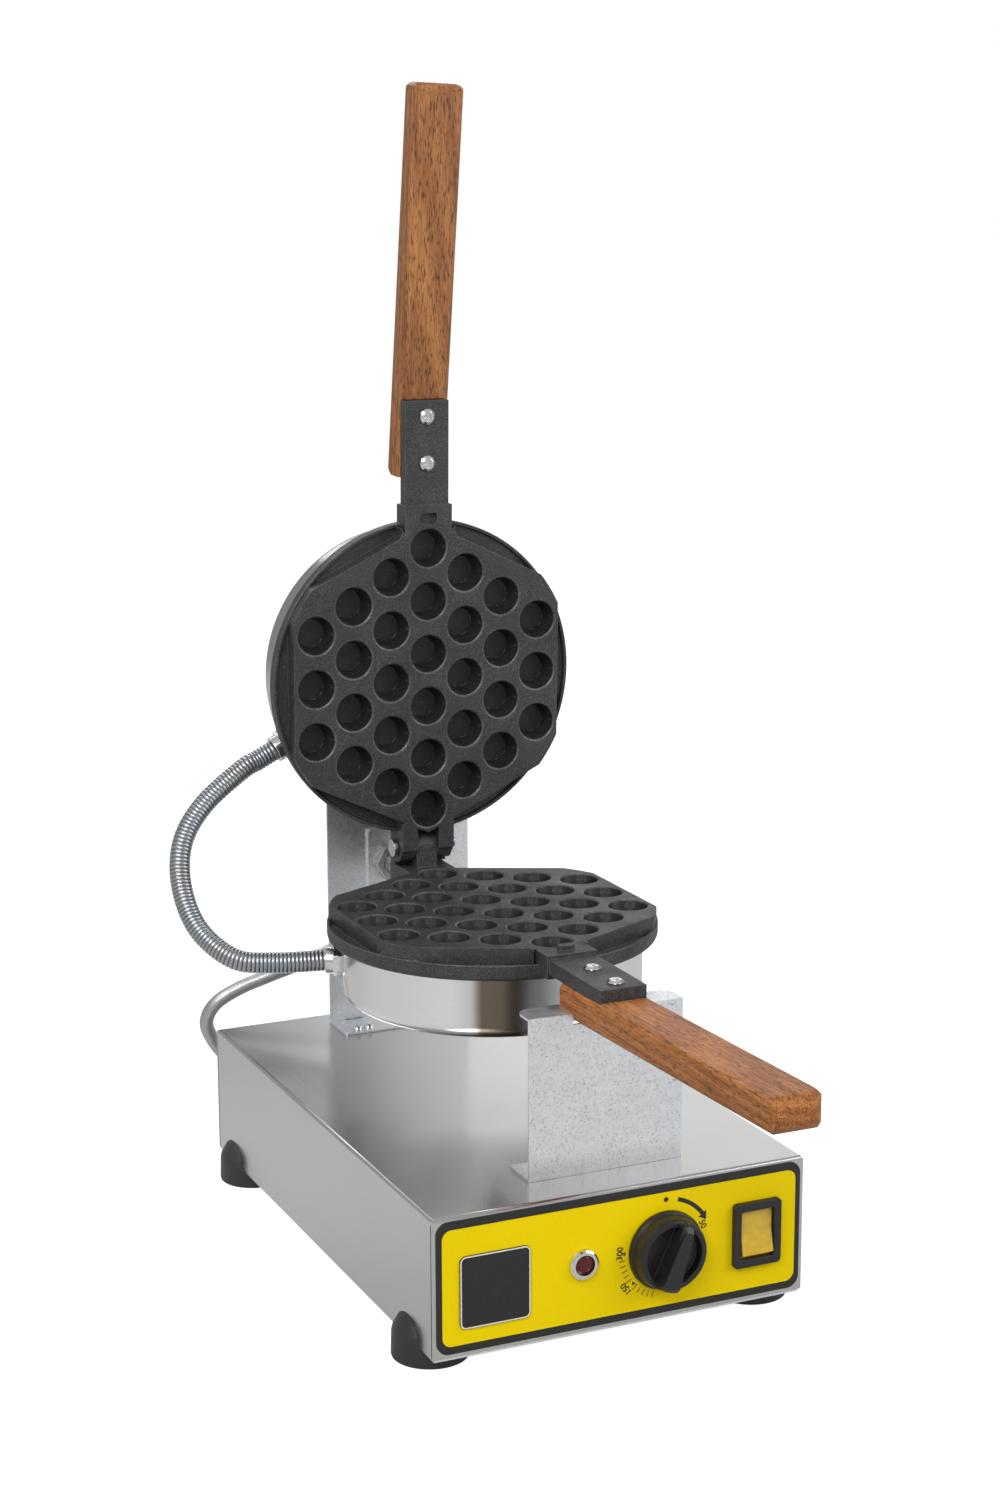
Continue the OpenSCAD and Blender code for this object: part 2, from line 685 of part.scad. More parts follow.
// Sheet bracket with a cradle for the lower handle
module front_bracket() {
    y = front_y + front_gap;
    rest = face_z + wood_underside(mould_y - y - bracket_t) - loose;
    top = rest + cradle_depth;
    notch_w = handle_w + 3;
    corner = 9;
    slit = 8;
    color("lightsteelblue") difference() {
        translate([front_shift, 0, 0]) union() {
            translate([-front_w / 2, y, base_top]) cube([front_w, bracket_t, top - base_top]);
            translate([0, y + front_foot / 2, base_top]) linear_extrude(height = bracket_t) {
                rounded_rect(front_w, front_foot, 2);
                translate([-front_w / 2, -front_foot / 2]) square([front_w, front_foot / 2]);
            }
            translate([0, y + front_lip / 2, top - bracket_t]) linear_extrude(height = bracket_t) {
                rounded_rect(front_w, front_lip, corner);
                translate([-front_w / 2, -front_lip / 2]) square([front_w, front_lip / 2]);
            }
        }
        translate([-notch_w / 2, y - cut, rest]) cube([notch_w, front_lip + 2 * cut, 50]);
        // relief slits where the fold ends at the cradle
        for (side = [-1, 1]) translate([side * (notch_w / 2 + slit / 2), y + bracket_t + 0.4, top])
            cube([slit + 0.5, 1.4, 6], center = true);
        for (p = bracket_screw_places()) translate([p[0], p[1], base_top - cut]) cylinder(r = 2.2, h = 10);
    }
}

// Sheet bracket that carries the pivot tube
module rear_bracket() {
    slit = 14;
    color("lightsteelblue") difference() {
        translate([rear_shift, 0, base_top]) union() {
            translate([0, 0, rear_h / 2]) upright(web_y, bracket_t) {
                rounded_rect(rear_w, rear_h, 8);
                translate([-rear_w / 2, -rear_h / 2]) square([rear_w, rear_h / 2]);
            }
            translate([0, web_y - rear_foot / 2 + bracket_t / 2, 0]) linear_extrude(height = bracket_t) {
                rounded_rect(rear_w, rear_foot + bracket_t, 2);
                translate([-rear_w / 2, 0]) square([rear_w, rear_foot / 2 + bracket_t / 2]);
            }
        }
        for (side = [-1, 1]) translate([rear_shift + side * (rear_w / 2 - 18), web_y, base_top])
            cube([slit, 1.6, 8], center = true);
        translate([0, 0, tube_z]) rod_y(tube_r + seat, web_y - cut, web_y + bracket_t + cut);
        for (p = bracket_screw_places()) translate([p[0], p[1], base_top - cut]) cylinder(r = 2.2, h = 10);
    }
}

module bracket_screws() {
    color("white") for (p = bracket_screw_places()) translate([p[0], p[1], base_top + bracket_t])
        pan_screw(3.8, 2.6, 2, bracket_t + sheet_t + 6);
}

module pivot_plate() {
    size = 36;
    color("gainsboro") difference() {
        translate([0, 0, tube_z]) upright(web_y - pivot_plate_t, pivot_plate_t) rounded_rect(size, size * 1.4, 4);
        translate([0, 0, tube_z]) rod_y(tube_r + seat, web_y - 10, web_y + cut);
    }
}

module pivot_tube() {
    color("silver") translate([0, 0, tube_z]) difference() {
        rod_y(tube_r, mould_y + lug_end - 12, tube_end_y);
        rod_y(tube_r - tube_wall, mould_y + lug_end - 12 - cut, tube_end_y + cut);
    }
}

module pivot_nuts() {
    color("silver") for (y = [web_y - pivot_plate_t - nut_t, web_y + bracket_t])
        translate([0, y, tube_z]) rotate([-90, 0, 0]) difference() {
            hex_prism(nut_af, nut_t);
            translate([0, 0, -cut]) cylinder(r = tube_r + seat, h = nut_t + 2 * cut);
        }
}

module supply_elbow() {
    r = tube_r + 3;
    color("silver") translate([0, 0, tube_z]) difference() {
        union() {
            rod_y(r, tube_end_y - 8, elbow_y);
            translate([0, elbow_y, 0]) sphere(r = r);
            translate([0, elbow_y, -elbow_leg]) cylinder(r = r - 1, h = elbow_leg);
            translate([0, elbow_y, -elbow_leg]) hex_prism(gland_af, 7);
        }
        rod_y(tube_r + seat, tube_end_y - 8 - cut, tube_end_y);
        rod_y(smooth_r - 1, tube_end_y - cut, elbow_y);
        translate([0, elbow_y, -elbow_leg - cut]) cylinder(r = smooth_r - 1, h = elbow_leg + cut);
    }
}

// Conduit gland along +Z from a wall at z = 0: washer, hexagon and a round collar
module conduit_gland(wall, bore) {
    difference() {
        union() {
            translate([0, 0, -wall]) cylinder(r = bore + 1.4, h = wall + 1);
            hex_prism(gland_af, gland_len * 0.55);
            cylinder(r = gland_af / 2 - 0.6, h = gland_len);
        }
        translate([0, 0, -wall - cut]) cylinder(r = bore, h = gland_len + wall + 2 * cut);
    }
}

module supply_gland() {
    color("silver") translate([supply_gland_x, rear_y, supply_gland_z]) rotate([-90, 0, 0])
        conduit_gland(sheet_t + 4, smooth_r - 1);
}

module supply_conduit() {
    start = [supply_gland_x, rear_y + gland_len, supply_gland_z];
    end = [0, elbow_y, tube_z - elbow_leg];
    color("slategray") swept_tube(concat([start], supply_route, [end - [0, 0, 18], end]),
        smooth_r, 10, 3, [0, 1, 0], [0, 0, 1], [0.6, 0.6, -0.5]);
}

// ---- Cast moulds ----

module plate_outline() {
    intersection() {
        circle(r = plate_r, $fn = 96);
        polygon([[0, plate_apex], [flat_x, plate_side_y], [flat_x, -plate_side_y],
            [0, -plate_apex], [-flat_x, -plate_side_y], [-flat_x, plate_side_y]]);
    }
}

module cells() {
    lip = 0.8;
    middle = (len(column_cells) - 1) / 2;
    for (i = [0 : len(column_cells) - 1], k = [0 : column_cells[i] - 1])
        translate([(i - middle) * column_pitch, (k - (column_cells[i] - 1) / 2) * cell_pitch, 0]) {
            translate([0, 0, -cell_depth]) cylinder(r1 = cell_floor_r, r2 = cell_r, h = cell_depth + 0.001);
            translate([0, 0, -lip]) cylinder(r1 = cell_r - lip * 0.2, r2 = cell_r + lip, h = lip + 0.001);
        }
}

// Cast plate with its ring, neck and tang; baking face at z = 0, handle towards -Y
module mould_casting() {
    edge = 4;
    bed = plate_t + channel;
    difference() {
        union() {
            translate([0, 0, -bed]) linear_extrude(height = bed) plate_outline();
            // ring: round lower edge, raised rim, and the channel inside the rim
            rotate_extrude($fn = 96) polygon(concat(
                [[0, -mould_t]],
                [for (a = [-90 : 15 : 0]) [ring_r - edge + edge * cos(a), -mould_t + edge + edge * sin(a)]],
                [[ring_r, -plate_t - 0.5], [ring_r - 0.5, -plate_t], [ring_r - rim_w, -plate_t],
                    [ring_r - rim_w - 1, -bed], [0, -bed]]));
            // neck, with filleted roots, and the thinner tang
            translate([0, 0, -neck_t]) linear_extrude(height = neck_t) {
                translate([-neck_w / 2, -neck_end]) square([neck_w, neck_end - flat_x + 8]);
                for (side = [-1, 1]) mirror([side < 0 ? 1 : 0, 0])
                    translate([neck_w / 2, -plate_apex + neck_w / 2 * 0.48]) rotate([0, 0, -62]) fillet_2d(6);
            }
            translate([-tang_w / 2, -tang_end, -tang_step - tang_t]) cube([tang_w, tang_end - neck_end + cut, tang_t]);
        }
        for (y = grip_screw_places) translate([0, y, -tang_step - tang_t - cut])
            cylinder(r = grip_screw_r + 0.05, h = tang_t + 2 * cut);
    }
}

// Three pillars behind the casting for the pan's screws
module pan_pillars() {
    h = pan_depth - pan_t;
    for (k = [0 : 2]) rotate([0, 0, 30 + 120 * k]) translate([pan_screw_ring, 0, -mould_t - h]) difference() {
        cylinder(r = 6, h = h + 0.5);
        translate([0, 0, -cut]) cylinder(r = 2.05, h = 14);
    }
}

module boss_shape(grow) {
    translate([0, -neck_end + 9]) rounded_rect(11 + 2 * grow, 6 + 2 * grow, 2.5);
}

module lower_mould() {
    lug_w = neck_w;
    support = hinge_r;
    color("#2e2e30") as_lower() difference() {
        union() {
            mould_casting();
            pan_pillars();
            linear_extrude(height = 3.2) boss_shape(0);
            // rear lug, central knuckle and its barrel
            translate([-lug_w / 2, pan_r + loose, -lug_t]) cube([lug_w, lug_end - pan_r - loose, lug_t]);
            translate([-knuckle_w / 2, hinge_back - support, -cut]) cube([knuckle_w, 2 * support, hinge_rise + cut]);
            translate([-knuckle_w / 2, hinge_back, hinge_rise]) rotate([0, 90, 0]) cylinder(r = hinge_r, h = knuckle_w);
        }
        cells();
        translate([-lug_w, hinge_back, hinge_rise]) rotate([0, 90, 0]) cylinder(r = pin_r + pin_fit, h = 2 * lug_w);
        translate([0, 0, -tube_drop]) rod_y(tube_r + seat, lug_end - 12, lug_end + cut);
    }
}

// Side view of an ear: barrel, arm to the casting, and the heel that stops the lid upright
module ear_outline(back) {
    reach = 20;
    heel = hinge_rise - 0.5;
    circle(r = hinge_r);
    translate([-reach, -back]) square([reach, back + hinge_r]);
    translate([0, hinge_r - 8]) square([heel, 8]);
}

module upper_mould() {
    back = hinge_rise - face_gap;
    color("#2e2e30") as_upper() difference() {
        union() {
            mould_casting();
            pan_pillars();
            for (x = [-ear_out, ear_in]) translate([x, hinge_back, -back]) rotate([90, 0, 90]) mirror([0, 1])
                linear_extrude(height = ear_w) ear_outline(back);
        }
        cells();
        translate([0, 0, -3.8]) linear_extrude(height = 3.8 + cut) boss_shape(0.6);
        translate([-ear_out - cut, hinge_back, -back]) rotate([0, 90, 0])
            cylinder(r = pin_r + pin_fit, h = 2 * ear_out + 2 * cut);
        // room for the central knuckle
        translate([-ear_in, hinge_back - hinge_r - loose, -mould_t - cut]) cube([2 * ear_in, 40, mould_t + 2 * cut]);
    }
}

module hinge_pin() {
    color("silver") translate([0, hinge_y, hinge_z]) rotate([0, 90, 0]) {
        translate([0, 0, -ear_out - 1]) cylinder(r = pin_r, h = 2 * ear_out + 6);
        translate([0, 0, -ear_out - 3.5]) cylinder(r = pin_r + 2.2, h = 3);
    }
}

module hinge_clip() {
    color("silver") translate([ear_out + 1, hinge_y, hinge_z]) rotate([0, 90, 0]) difference() {
        cylinder(r = pin_r + 3, h = 1.2);
        translate([0, 0, -cut]) cylinder(r = pin_r + seat, h = 1.2 + 2 * cut);
        translate([0, -pin_r * 0.7, -cut]) cube([pin_r + 4, pin_r * 1.4, 1.2 + 2 * cut]);
    }
}

// ---- Heater pans ----

module pan_profile(inset) {
    r = pan_r - inset;
    e = pan_edge - inset;
    floor_z = -mould_t - pan_depth + inset;
    polygon(concat(
        [[0, -mould_t + (inset > 0 ? cut : 0)], [0, floor_z]],
        [for (a = [-90 : 10 : 0]) [r - e + e * cos(a), floor_z + e + e * sin(a)]],
        [[r, -mould_t + (inset > 0 ? cut : 0)]]));
}

module pan(gland_turn, gland_depth) {
    color("gainsboro") difference() {
        rotate_extrude($fn = 96) pan_profile(0);
        rotate_extrude($fn = 96) pan_profile(pan_t);
        for (k = [0 : 2]) rotate([0, 0, 30 + 120 * k]) translate([pan_screw_ring, 0, -mould_t - pan_depth - cut])
            cylinder(r = 2.2, h = 5);
        rotate([0, 0, gland_turn]) translate([pan_r - 10, 0, gland_depth]) rotate([0, 90, 0])
            cylinder(r = ribbed_r + 0.3, h = 20);
    }
}

gland_depth = -mould_t - gland_drop;

module pan_gland(turn) {
    color("silver") difference() {
        rotate([0, 0, turn]) translate([pan_r - 0.8, 0, gland_depth]) rotate([0, 90, 0])
            conduit_gland(3, ribbed_r - 1.3);
        // seats on the pan's round wall
        difference() {
            translate([0, 0, gland_depth - 20]) cylinder(r = pan_r + seat, h = 40, $fn = 96);
            rotate([0, 0, turn]) translate([pan_r - 8, 0, gland_depth]) rotate([0, 90, 0])
                cylinder(r = ribbed_r + 0.2, h = 20);
        }
    }
}

// Tube heater: an open ring against the casting, with a plain ferrule and stud turned down at each end
module heater() {
    gap = 24;
    lead = 13;
    ferrule_r = heater_r + 0.8;
    ring_z = -mould_t - heater_r - 0.05;
    color("dimgray") rotate([0, 0, 180 + gap / 2]) {
        translate([0, 0, ring_z]) rotate_extrude(angle = 360 - gap) translate([heater_ring, 0]) circle(r = heater_r);
        for (turn = [0, -gap]) rotate([0, 0, turn]) translate([heater_ring, 0, ring_z - lead]) {
            cylinder(r = ferrule_r, h = lead + heater_r - 0.6);
            translate([0, 0, -5]) cylinder(r = heater_r / 3, h = 6);
        }
    }
}

module insulation() {
    color("beige") translate([0, 0, -mould_t - pan_depth + pan_t + 2]) difference() {
        cylinder(r = pan_r - pan_edge - 2, h = wool_t);
        for (k = [0 : 2]) rotate([0, 0, 30 + 120 * k]) translate([pan_screw_ring, 0, -cut])
            cylinder(r = 6.3, h = wool_t + 2 * cut);
    }
}

module pan_screws() {
    color("white") for (k = [0 : 2]) rotate([0, 0, 30 + 120 * k])
        translate([pan_screw_ring, 0, -mould_t - pan_depth]) rotate([180, 0, 0]) pan_screw(4.2, 2.6, 2, 12);
}

// ---- Handles ----

// Height of a handle's underside at a distance from the mould's centre, measured from the baking face
function wood_underside(reach) =
    -tang_step - tang_t - handle_t / cos(handle_tilt) + (reach - handle_start) * tan(handle_tilt);

// Bar along -Y from z = 0 down: bevelled section, rounded tip, cut-off corner at the near end
module wood_bar() {
    tip_r = 5;
    b = handle_bevel;
    w = handle_w;
    t = handle_t;
    intersection() {
        rotate([90, 0, 0]) linear_extrude(height = handle_len)
            polygon([[-w / 2 + b, 0], [w / 2 - b, 0], [w / 2, -b], [w / 2, b - t], [w / 2 - b, -t],
                [-w / 2 + b, -t], [-w / 2, b - t], [-w / 2, -b]]);
        translate([0, 0, -t - cut]) linear_extrude(height = t + 2 * cut) {
            translate([-w / 2, tip_r - handle_len]) square([w, handle_len - tip_r]);
            translate([-w / 2 + tip_r, -handle_len]) square([w - 2 * tip_r, handle_len]);
            for (side = [-1, 1]) translate([side * (w / 2 - tip_r), tip_r - handle_len]) circle(r = tip_r);
        }
        translate([0, -handle_len, 0]) rotate([90, 0, 90]) linear_extrude(height = w, center = true)
            polygon([[handle_len, 0], [handle_len, 7 - t], [handle_len - 5, -t], [4, -t], [0, 4 - t],
                [0, -6], [2, -2], [6, 0]]);
    }
}

// Wooden handle with the tang let into its sloping top, and its screw holes
module wood_handle(skew) {
    top = -tang_step - tang_t;
    color("#a5683a") difference() {
        translate([0, -grip_screw_start, 0]) rotate([0, 0, -skew])
            translate([0, grip_screw_start - handle_start, top]) rotate([-handle_tilt, 0, 0]) wood_bar();
        translate([-tang_w / 2 - seat, -tang_end - seat, top]) cube([tang_w + 2 * seat, tang_end, tang_t]);
        for (y = grip_screw_places) translate([0, y, top - grip_depth]) cylinder(r = grip_screw_r + 0.05, h = 30);
    }
}

module handle_screws() {
    color("white") for (y = grip_screw_places) translate([0, y, -tang_step])
        pan_screw(grip_head_r, grip_head_h, grip_screw_r, tang_t + grip_depth - 1);
}

// ---- Lower iron ----

module lower_pan() { as_lower() pan(lower_gland_angle, gland_depth); }
module lower_heater() { as_lower() heater(); }
module lower_insulation() { as_lower() insulation(); }
module lower_pan_screws() { as_lower() pan_screws(); }
module lower_handle() { as_lower() wood_handle(0); }
module lower_handle_screws() { as_lower() handle_screws(); }
module lower_gland() { as_lower() pan_gland(lower_gland_angle); }

// ---- Upper iron ----

module upper_pan() { as_upper() pan(ribbed_angle, gland_depth); }
module upper_heater() { as_upper() heater(); }
module upper_insulation() { as_upper() insulation(); }
module upper_pan_screws() { as_upper() pan_screws(); }
module upper_handle() { as_upper() wood_handle(upper_skew); }
module upper_handle_screws() { as_upper() handle_screws(); }
module upper_gland() { as_upper() pan_gland(ribbed_angle); }

// Ribbed conduit from the upper pan's gland to the lower pan's gland
module lid_conduit() {
    reach = pan_r - 0.8 + gland_len;
    pan_out = [cos(lower_gland_angle), sin(lower_gland_angle), 0];
    ribbed_out = [cos(ribbed_angle), sin(ribbed_angle), 0];
    lid_out = lid_way(ribbed_out);
    start = lid_point([0, 0, gland_depth] + reach * ribbed_out);
    end = [0, mould_y, face_z + gland_depth] + reach * pan_out;
    color("slategray") swept_tube(concat([start], lid_route, [end]), ribbed_r, 12, 4, lid_out, -pan_out, [0, 1, 0.1]);
}

base_shell();
bottom_plate();
bottom_screws();
foot(foot_places[0]);  // foot_front_left
foot(foot_places[1]);  // foot_front_right
foot(foot_places[2]);  // foot_rear_left
foot(foot_places[3]);  // foot_rear_right
foot_screws();
control_panel();
panel_badge();
lamp_bezel();
lamp_lens();
lamp_body();
lamp_nut();
switch_frame();
switch_rocker();
switch_body();
knob();
knob_shaft();
thermostat();
terminal_block();
cord_gland();
front_bracket();
rear_bracket();
bracket_screws();
pivot_plate();
pivot_tube();
pivot_nuts();
supply_gland();
supply_conduit();
supply_elbow();
lower_mould();
lower_pan();
lower_heater();
lower_insulation();
lower_pan_screws();
lower_handle();
lower_handle_screws();
lower_gland();
upper_mould();
upper_pan();
upper_heater();
upper_insulation();
upper_pan_screws();
upper_handle();
upper_handle_screws();
upper_gland();
lid_conduit();
hinge_pin();
hinge_clip();
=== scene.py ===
# Bubble waffle iron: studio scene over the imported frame
import json
from math import cos, pi, radians, sin

import bmesh
import bpy
import numpy as np
from mathutils import Matrix, Vector


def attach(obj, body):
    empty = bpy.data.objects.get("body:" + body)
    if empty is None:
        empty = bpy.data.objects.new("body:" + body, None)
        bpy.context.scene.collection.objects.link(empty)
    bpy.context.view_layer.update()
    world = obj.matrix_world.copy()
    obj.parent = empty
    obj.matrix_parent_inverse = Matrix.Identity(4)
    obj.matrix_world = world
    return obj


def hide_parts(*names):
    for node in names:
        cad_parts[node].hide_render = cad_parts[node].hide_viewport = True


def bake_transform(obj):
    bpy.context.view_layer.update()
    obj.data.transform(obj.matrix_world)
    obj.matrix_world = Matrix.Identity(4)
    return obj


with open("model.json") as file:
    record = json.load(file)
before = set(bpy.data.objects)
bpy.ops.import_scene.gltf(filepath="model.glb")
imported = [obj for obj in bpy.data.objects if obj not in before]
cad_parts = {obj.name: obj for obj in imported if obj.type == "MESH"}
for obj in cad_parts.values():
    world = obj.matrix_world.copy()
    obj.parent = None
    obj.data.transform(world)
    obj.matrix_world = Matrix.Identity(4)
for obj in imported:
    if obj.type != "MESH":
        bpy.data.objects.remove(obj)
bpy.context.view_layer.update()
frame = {"nodes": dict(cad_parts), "record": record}
nodes = frame["nodes"]
bodies = {n: b for b, members in frame["record"]["behaviour"]["bodies"].items() for n in members}
slots = {part["node"]: part["material_slot"] for part in frame["record"]["subparts"]}
mm = 0.001
print("frame loaded:", len(nodes), "nodes")

cameraSetup = {
    "place": (-0.6915, -1.5386, 0.6884),
    "azimuth": 24.459,      # clockwise from +Y, degrees
    "pitch": -12.327,
    "roll": -0.177,
    "lens": 64.147,
    "sensor": 36,
    "near": 0.05,
    "far": 50,
}


def makeCamera(c):
    a, e, r = radians(c["azimuth"]), radians(c["pitch"]), radians(c["roll"])
    ahead = Vector((sin(a) * cos(e), cos(a) * cos(e), sin(e)))
    flatRight = Vector((cos(a), -sin(a), 0))
    flatUp = flatRight.cross(ahead)
    right = cos(r) * flatRight + sin(r) * flatUp
    up = -sin(r) * flatRight + cos(r) * flatUp
    data = bpy.data.cameras.new("studioCamera")
    data.lens = c["lens"]
    data.sensor_width = c["sensor"]
    data.sensor_fit = "AUTO"
    data.clip_start = c["near"]
    data.clip_end = c["far"]
    camera = bpy.data.objects.new("studioCamera", data)
    turn = Matrix((right, up, -ahead)).transposed().to_4x4()
    camera.matrix_world = Matrix.Translation(c["place"]) @ turn
    bpy.context.scene.collection.objects.link(camera)
    bpy.context.scene.camera = camera


makeCamera(cameraSetup)


# One shader node: a socket given for an input is linked to it, any other value is set on it
def addNode(tree, kind, sockets=None, **settings):
    node = tree.nodes.new(kind)
    for key, value in settings.items():
        setattr(node, key, value)
    for key, value in (sockets or {}).items():
        if isinstance(value, bpy.types.NodeSocket):
            tree.links.new(value, node.inputs[key])
        else:
            node.inputs[key].default_value = value
    return node


def startMaterial(name, look):
    material = bpy.data.materials.new(name)
    material.use_nodes = True
    tree = material.node_tree
    shader = tree.nodes["Principled BSDF"]
    for socket, value in look.items():
        shader.inputs[socket].default_value = value
    place = addNode(tree, "ShaderNodeTexCoord").outputs["Object"]
    return material, tree, shader, place


def stretched(tree, vector, scale, turn=(0, 0, 0), shift=(0, 0, 0)):
    return addNode(tree, "ShaderNodeMapping", {"Vector": vector, "Scale": scale, "Rotation": turn,
                                               "Location": shift}).outputs["Vector"]


# A point moved by a colour noise, which bends the pattern that reads it
def warped(tree, vector, colour, amount):
    push = addNode(tree, "ShaderNodeVectorMath", {0: colour, "Scale": amount}, operation="SCALE").outputs[0]
    return addNode(tree, "ShaderNodeVectorMath", {0: push, 1: vector}, operation="ADD").outputs[0]


def noise(tree, vector, scale, detail=3.0, rough=0.5, warp=0.0, output="Fac"):
    return addNode(tree, "ShaderNodeTexNoise", {"Vector": vector, "Scale": scale, "Detail": detail,
                                                "Roughness": rough, "Distortion": warp}).outputs[output]


def ramp(tree, factor, stops, ease="LINEAR"):
    node = addNode(tree, "ShaderNodeValToRGB", {"Fac": factor})
    node.color_ramp.interpolation = ease
    elements = node.color_ramp.elements
    while len(elements) < len(stops):
        elements.new(0.5)
    for element, (position, colour) in zip(elements, stops):
        element.position = position
        element.color = (*colour, 1)
    return node.outputs["Color"]


def grey(value):
    return (value, value, value)


# Two colours mixed; a Mix node's colour sockets are inputs 6 and 7 and output 2
def mixColour(tree, factor, a, b, blend="MIX"):
    sockets = {0: factor}
    for index, value in ((6, a), (7, b)):
        sockets[index] = value if isinstance(value, bpy.types.NodeSocket) else (*value, 1)
    return addNode(tree, "ShaderNodeMix", sockets, data_type="RGBA", blend_type=blend).outputs[2]


def multiplied(tree, a, b):
    return mixColour(tree, 1.0, a, b, "MULTIPLY")


def maths(tree, operation, a, b):
    return addNode(tree, "ShaderNodeMath", {0: a, 1: b}, operation=operation).outputs[0]


def bump(tree, shader, height, strength, depth):
    node = addNode(tree, "ShaderNodeBump", {"Height": height, "Strength": strength, "Distance": depth})
    tree.links.new(node.outputs["Normal"], shader.inputs["Normal"])


# Brushed sheet: streaks run along one axis, with broad faint smudges over them
def steelMaterial(name, streaks):
    material, tree, shader, place = startMaterial(name, {"Metallic": 1.0})
    fine = noise(tree, stretched(tree, place, streaks["scale"]), 1.0, 4, 0.6)
    broad = noise(tree, place, streaks["smudge"], 3, 0.55, 0.6)
    low, high = streaks["rough"]
    gloss = mixColour(tree, 0.35, ramp(tree, fine, [(0.3, grey(low)), (0.7, grey(high))]),
                      ramp(tree, broad, [(0.35, grey(low)), (0.7, grey(high + 0.06))]))
    tree.links.new(gloss, shader.inputs["Roughness"])
    tone = ramp(tree, fine, [(0.25, grey(streaks["tone"] * 0.93)), (0.75, grey(streaks["tone"]))])
    shade = ramp(tree, broad, [(0.3, grey(0.94)), (0.7, streaks["tint"])])
    if "bands" in streaks:      # painted reflection: stripes of tone round the piece's own axis
        turned = stretched(tree, place, (1, 1, 1), *streaks["axis"])
        around = addNode(tree, "ShaderNodeTexGradient", {"Vector": turned}, gradient_type="RADIAL")
        shade = multiplied(tree, shade, ramp(tree, around.outputs["Fac"], streaks["bands"], "EASE"))
    tree.links.new(multiplied(tree, tone, shade), shader.inputs["Base Color"])
    bump(tree, shader, fine, streaks["bump"], 0.0002)
    return material


# Hot-dip zinc: warped crystal patches of slightly different tone, with fine dark grain over them
def zincMaterial(name, zinc):
    material, tree, shader, place = startMaterial(name, {"Metallic": 1.0})
    moved = warped(tree, place, noise(tree, place, 60.0, output="Color"), zinc["warp"])
    patches = addNode(tree, "ShaderNodeTexVoronoi", {"Vector": moved, "Scale": zinc["patch"]})
    small = addNode(tree, "ShaderNodeTexVoronoi", {"Vector": moved, "Scale": zinc["patch"] * 2.7})
    patch = maths(tree, "ADD", maths(tree, "MULTIPLY", patches.outputs["Color"], 0.6),
                  maths(tree, "MULTIPLY", small.outputs["Color"], 0.4))
    grain = noise(tree, place, zinc["grain"], 4, 0.75)
    tone = ramp(tree, patch, [(0.25, zinc["dark"]), (0.75, zinc["light"])])
    speck = ramp(tree, grain, [(0.33, grey(zinc["speck"])), (0.46, grey(1.0))])
    tree.links.new(multiplied(tree, tone, speck), shader.inputs["Base Color"])
    low, high = zinc["rough"]
    tree.links.new(ramp(tree, patch, [(0.2, grey(high)), (0.8, grey(low))]), shader.inputs["Roughness"])
    bump(tree, shader, maths(tree, "ADD", patch, grain), zinc["bump"], 0.0003)
    return material


# Coated casting: dark, with fine sandy grain and slow patches of wear
def castMaterial(name, cast):
    material, tree, shader, place = startMaterial(name, {"Metallic": cast["metal"], "Specular IOR Level": 0.45})
    grain = noise(tree, place, 1000.0, 3, 0.75)
    patches = noise(tree, place, 38.0, 4, 0.6, 0.4)
    tone = ramp(tree, patches, [(0.3, cast["dark"]), (0.72, cast["light"])])
    speck = ramp(tree, grain, [(0.32, grey(0.5)), (0.5, grey(1.0)), (0.68, grey(2.2))])
    tree.links.new(multiplied(tree, tone, speck), shader.inputs["Base Color"])
    low, high = cast["rough"]
    tree.links.new(ramp(tree, patches, [(0.3, grey(high)), (0.7, grey(low))]), shader.inputs["Roughness"])
    coarse = noise(tree, place, 420.0, 2, 0.5)
    bump(tree, shader, maths(tree, "ADD", grain, coarse), cast["bump"], 0.00018)
    return material


# Oiled beech: rings stretched along the grain, short dark pores, and warm patches
def woodMaterial(name, wood):
    material, tree, shader, place = startMaterial(name, {"Specular IOR Level": 0.35, "Coat Weight": 0.08,
                                                         "Coat Roughness": 0.35})
    along = stretched(tree, place, (1, 1, 1), wood["turn"], wood["shift"])      # the grain now runs along Z
    drift = noise(tree, stretched(tree, along, (12, 12, 3)), 1.0, 2, output="Color")
    moved = warped(tree, along, drift, 0.02)
    rings = addNode(tree, "ShaderNodeTexWave", {"Vector": stretched(tree, moved, (1, 1, 0.05)),
                                                "Scale": 46.0, "Distortion": 3.5, "Detail": 3.0,
                                                "Detail Scale": 1.6, "Detail Roughness": 0.6},
                    wave_type="RINGS", rings_direction="Z").outputs["Fac"]
    fibres = noise(tree, stretched(tree, along, (620, 620, 26)), 1.0, 5, 0.7)
    pores = noise(tree, stretched(tree, along, (1100, 1100, 150)), 1.0, 2, 0.5)
    patches = noise(tree, stretched(tree, along, (26, 26, 7)), 1.0, 3, 0.6)
    figure = maths(tree, "ADD", maths(tree, "MULTIPLY", rings, 0.16), maths(tree, "MULTIPLY", fibres, 0.84))
    tone = ramp(tree, figure, [(0.26, wood["dark"]), (0.5, wood["mid"]), (0.72, wood["light"])])
    warm = multiplied(tree, tone, ramp(tree, patches, [(0.3, (0.80, 0.76, 0.72)), (0.7, (1.10, 1.07, 1.0))]))
    flecks = ramp(tree, pores, [(0.36, grey(0.34)), (0.47, grey(1.0))])
    tree.links.new(multiplied(tree, warm, flecks), shader.inputs["Base Color"])
    tree.links.new(ramp(tree, fibres, [(0.3, grey(0.62)), (0.7, grey(0.44))]), shader.inputs["Roughness"])
    bump(tree, shader, maths(tree, "SUBTRACT", fibres, maths(tree, "MULTIPLY", pores, 0.5)), 0.22, 0.0004)
    return material


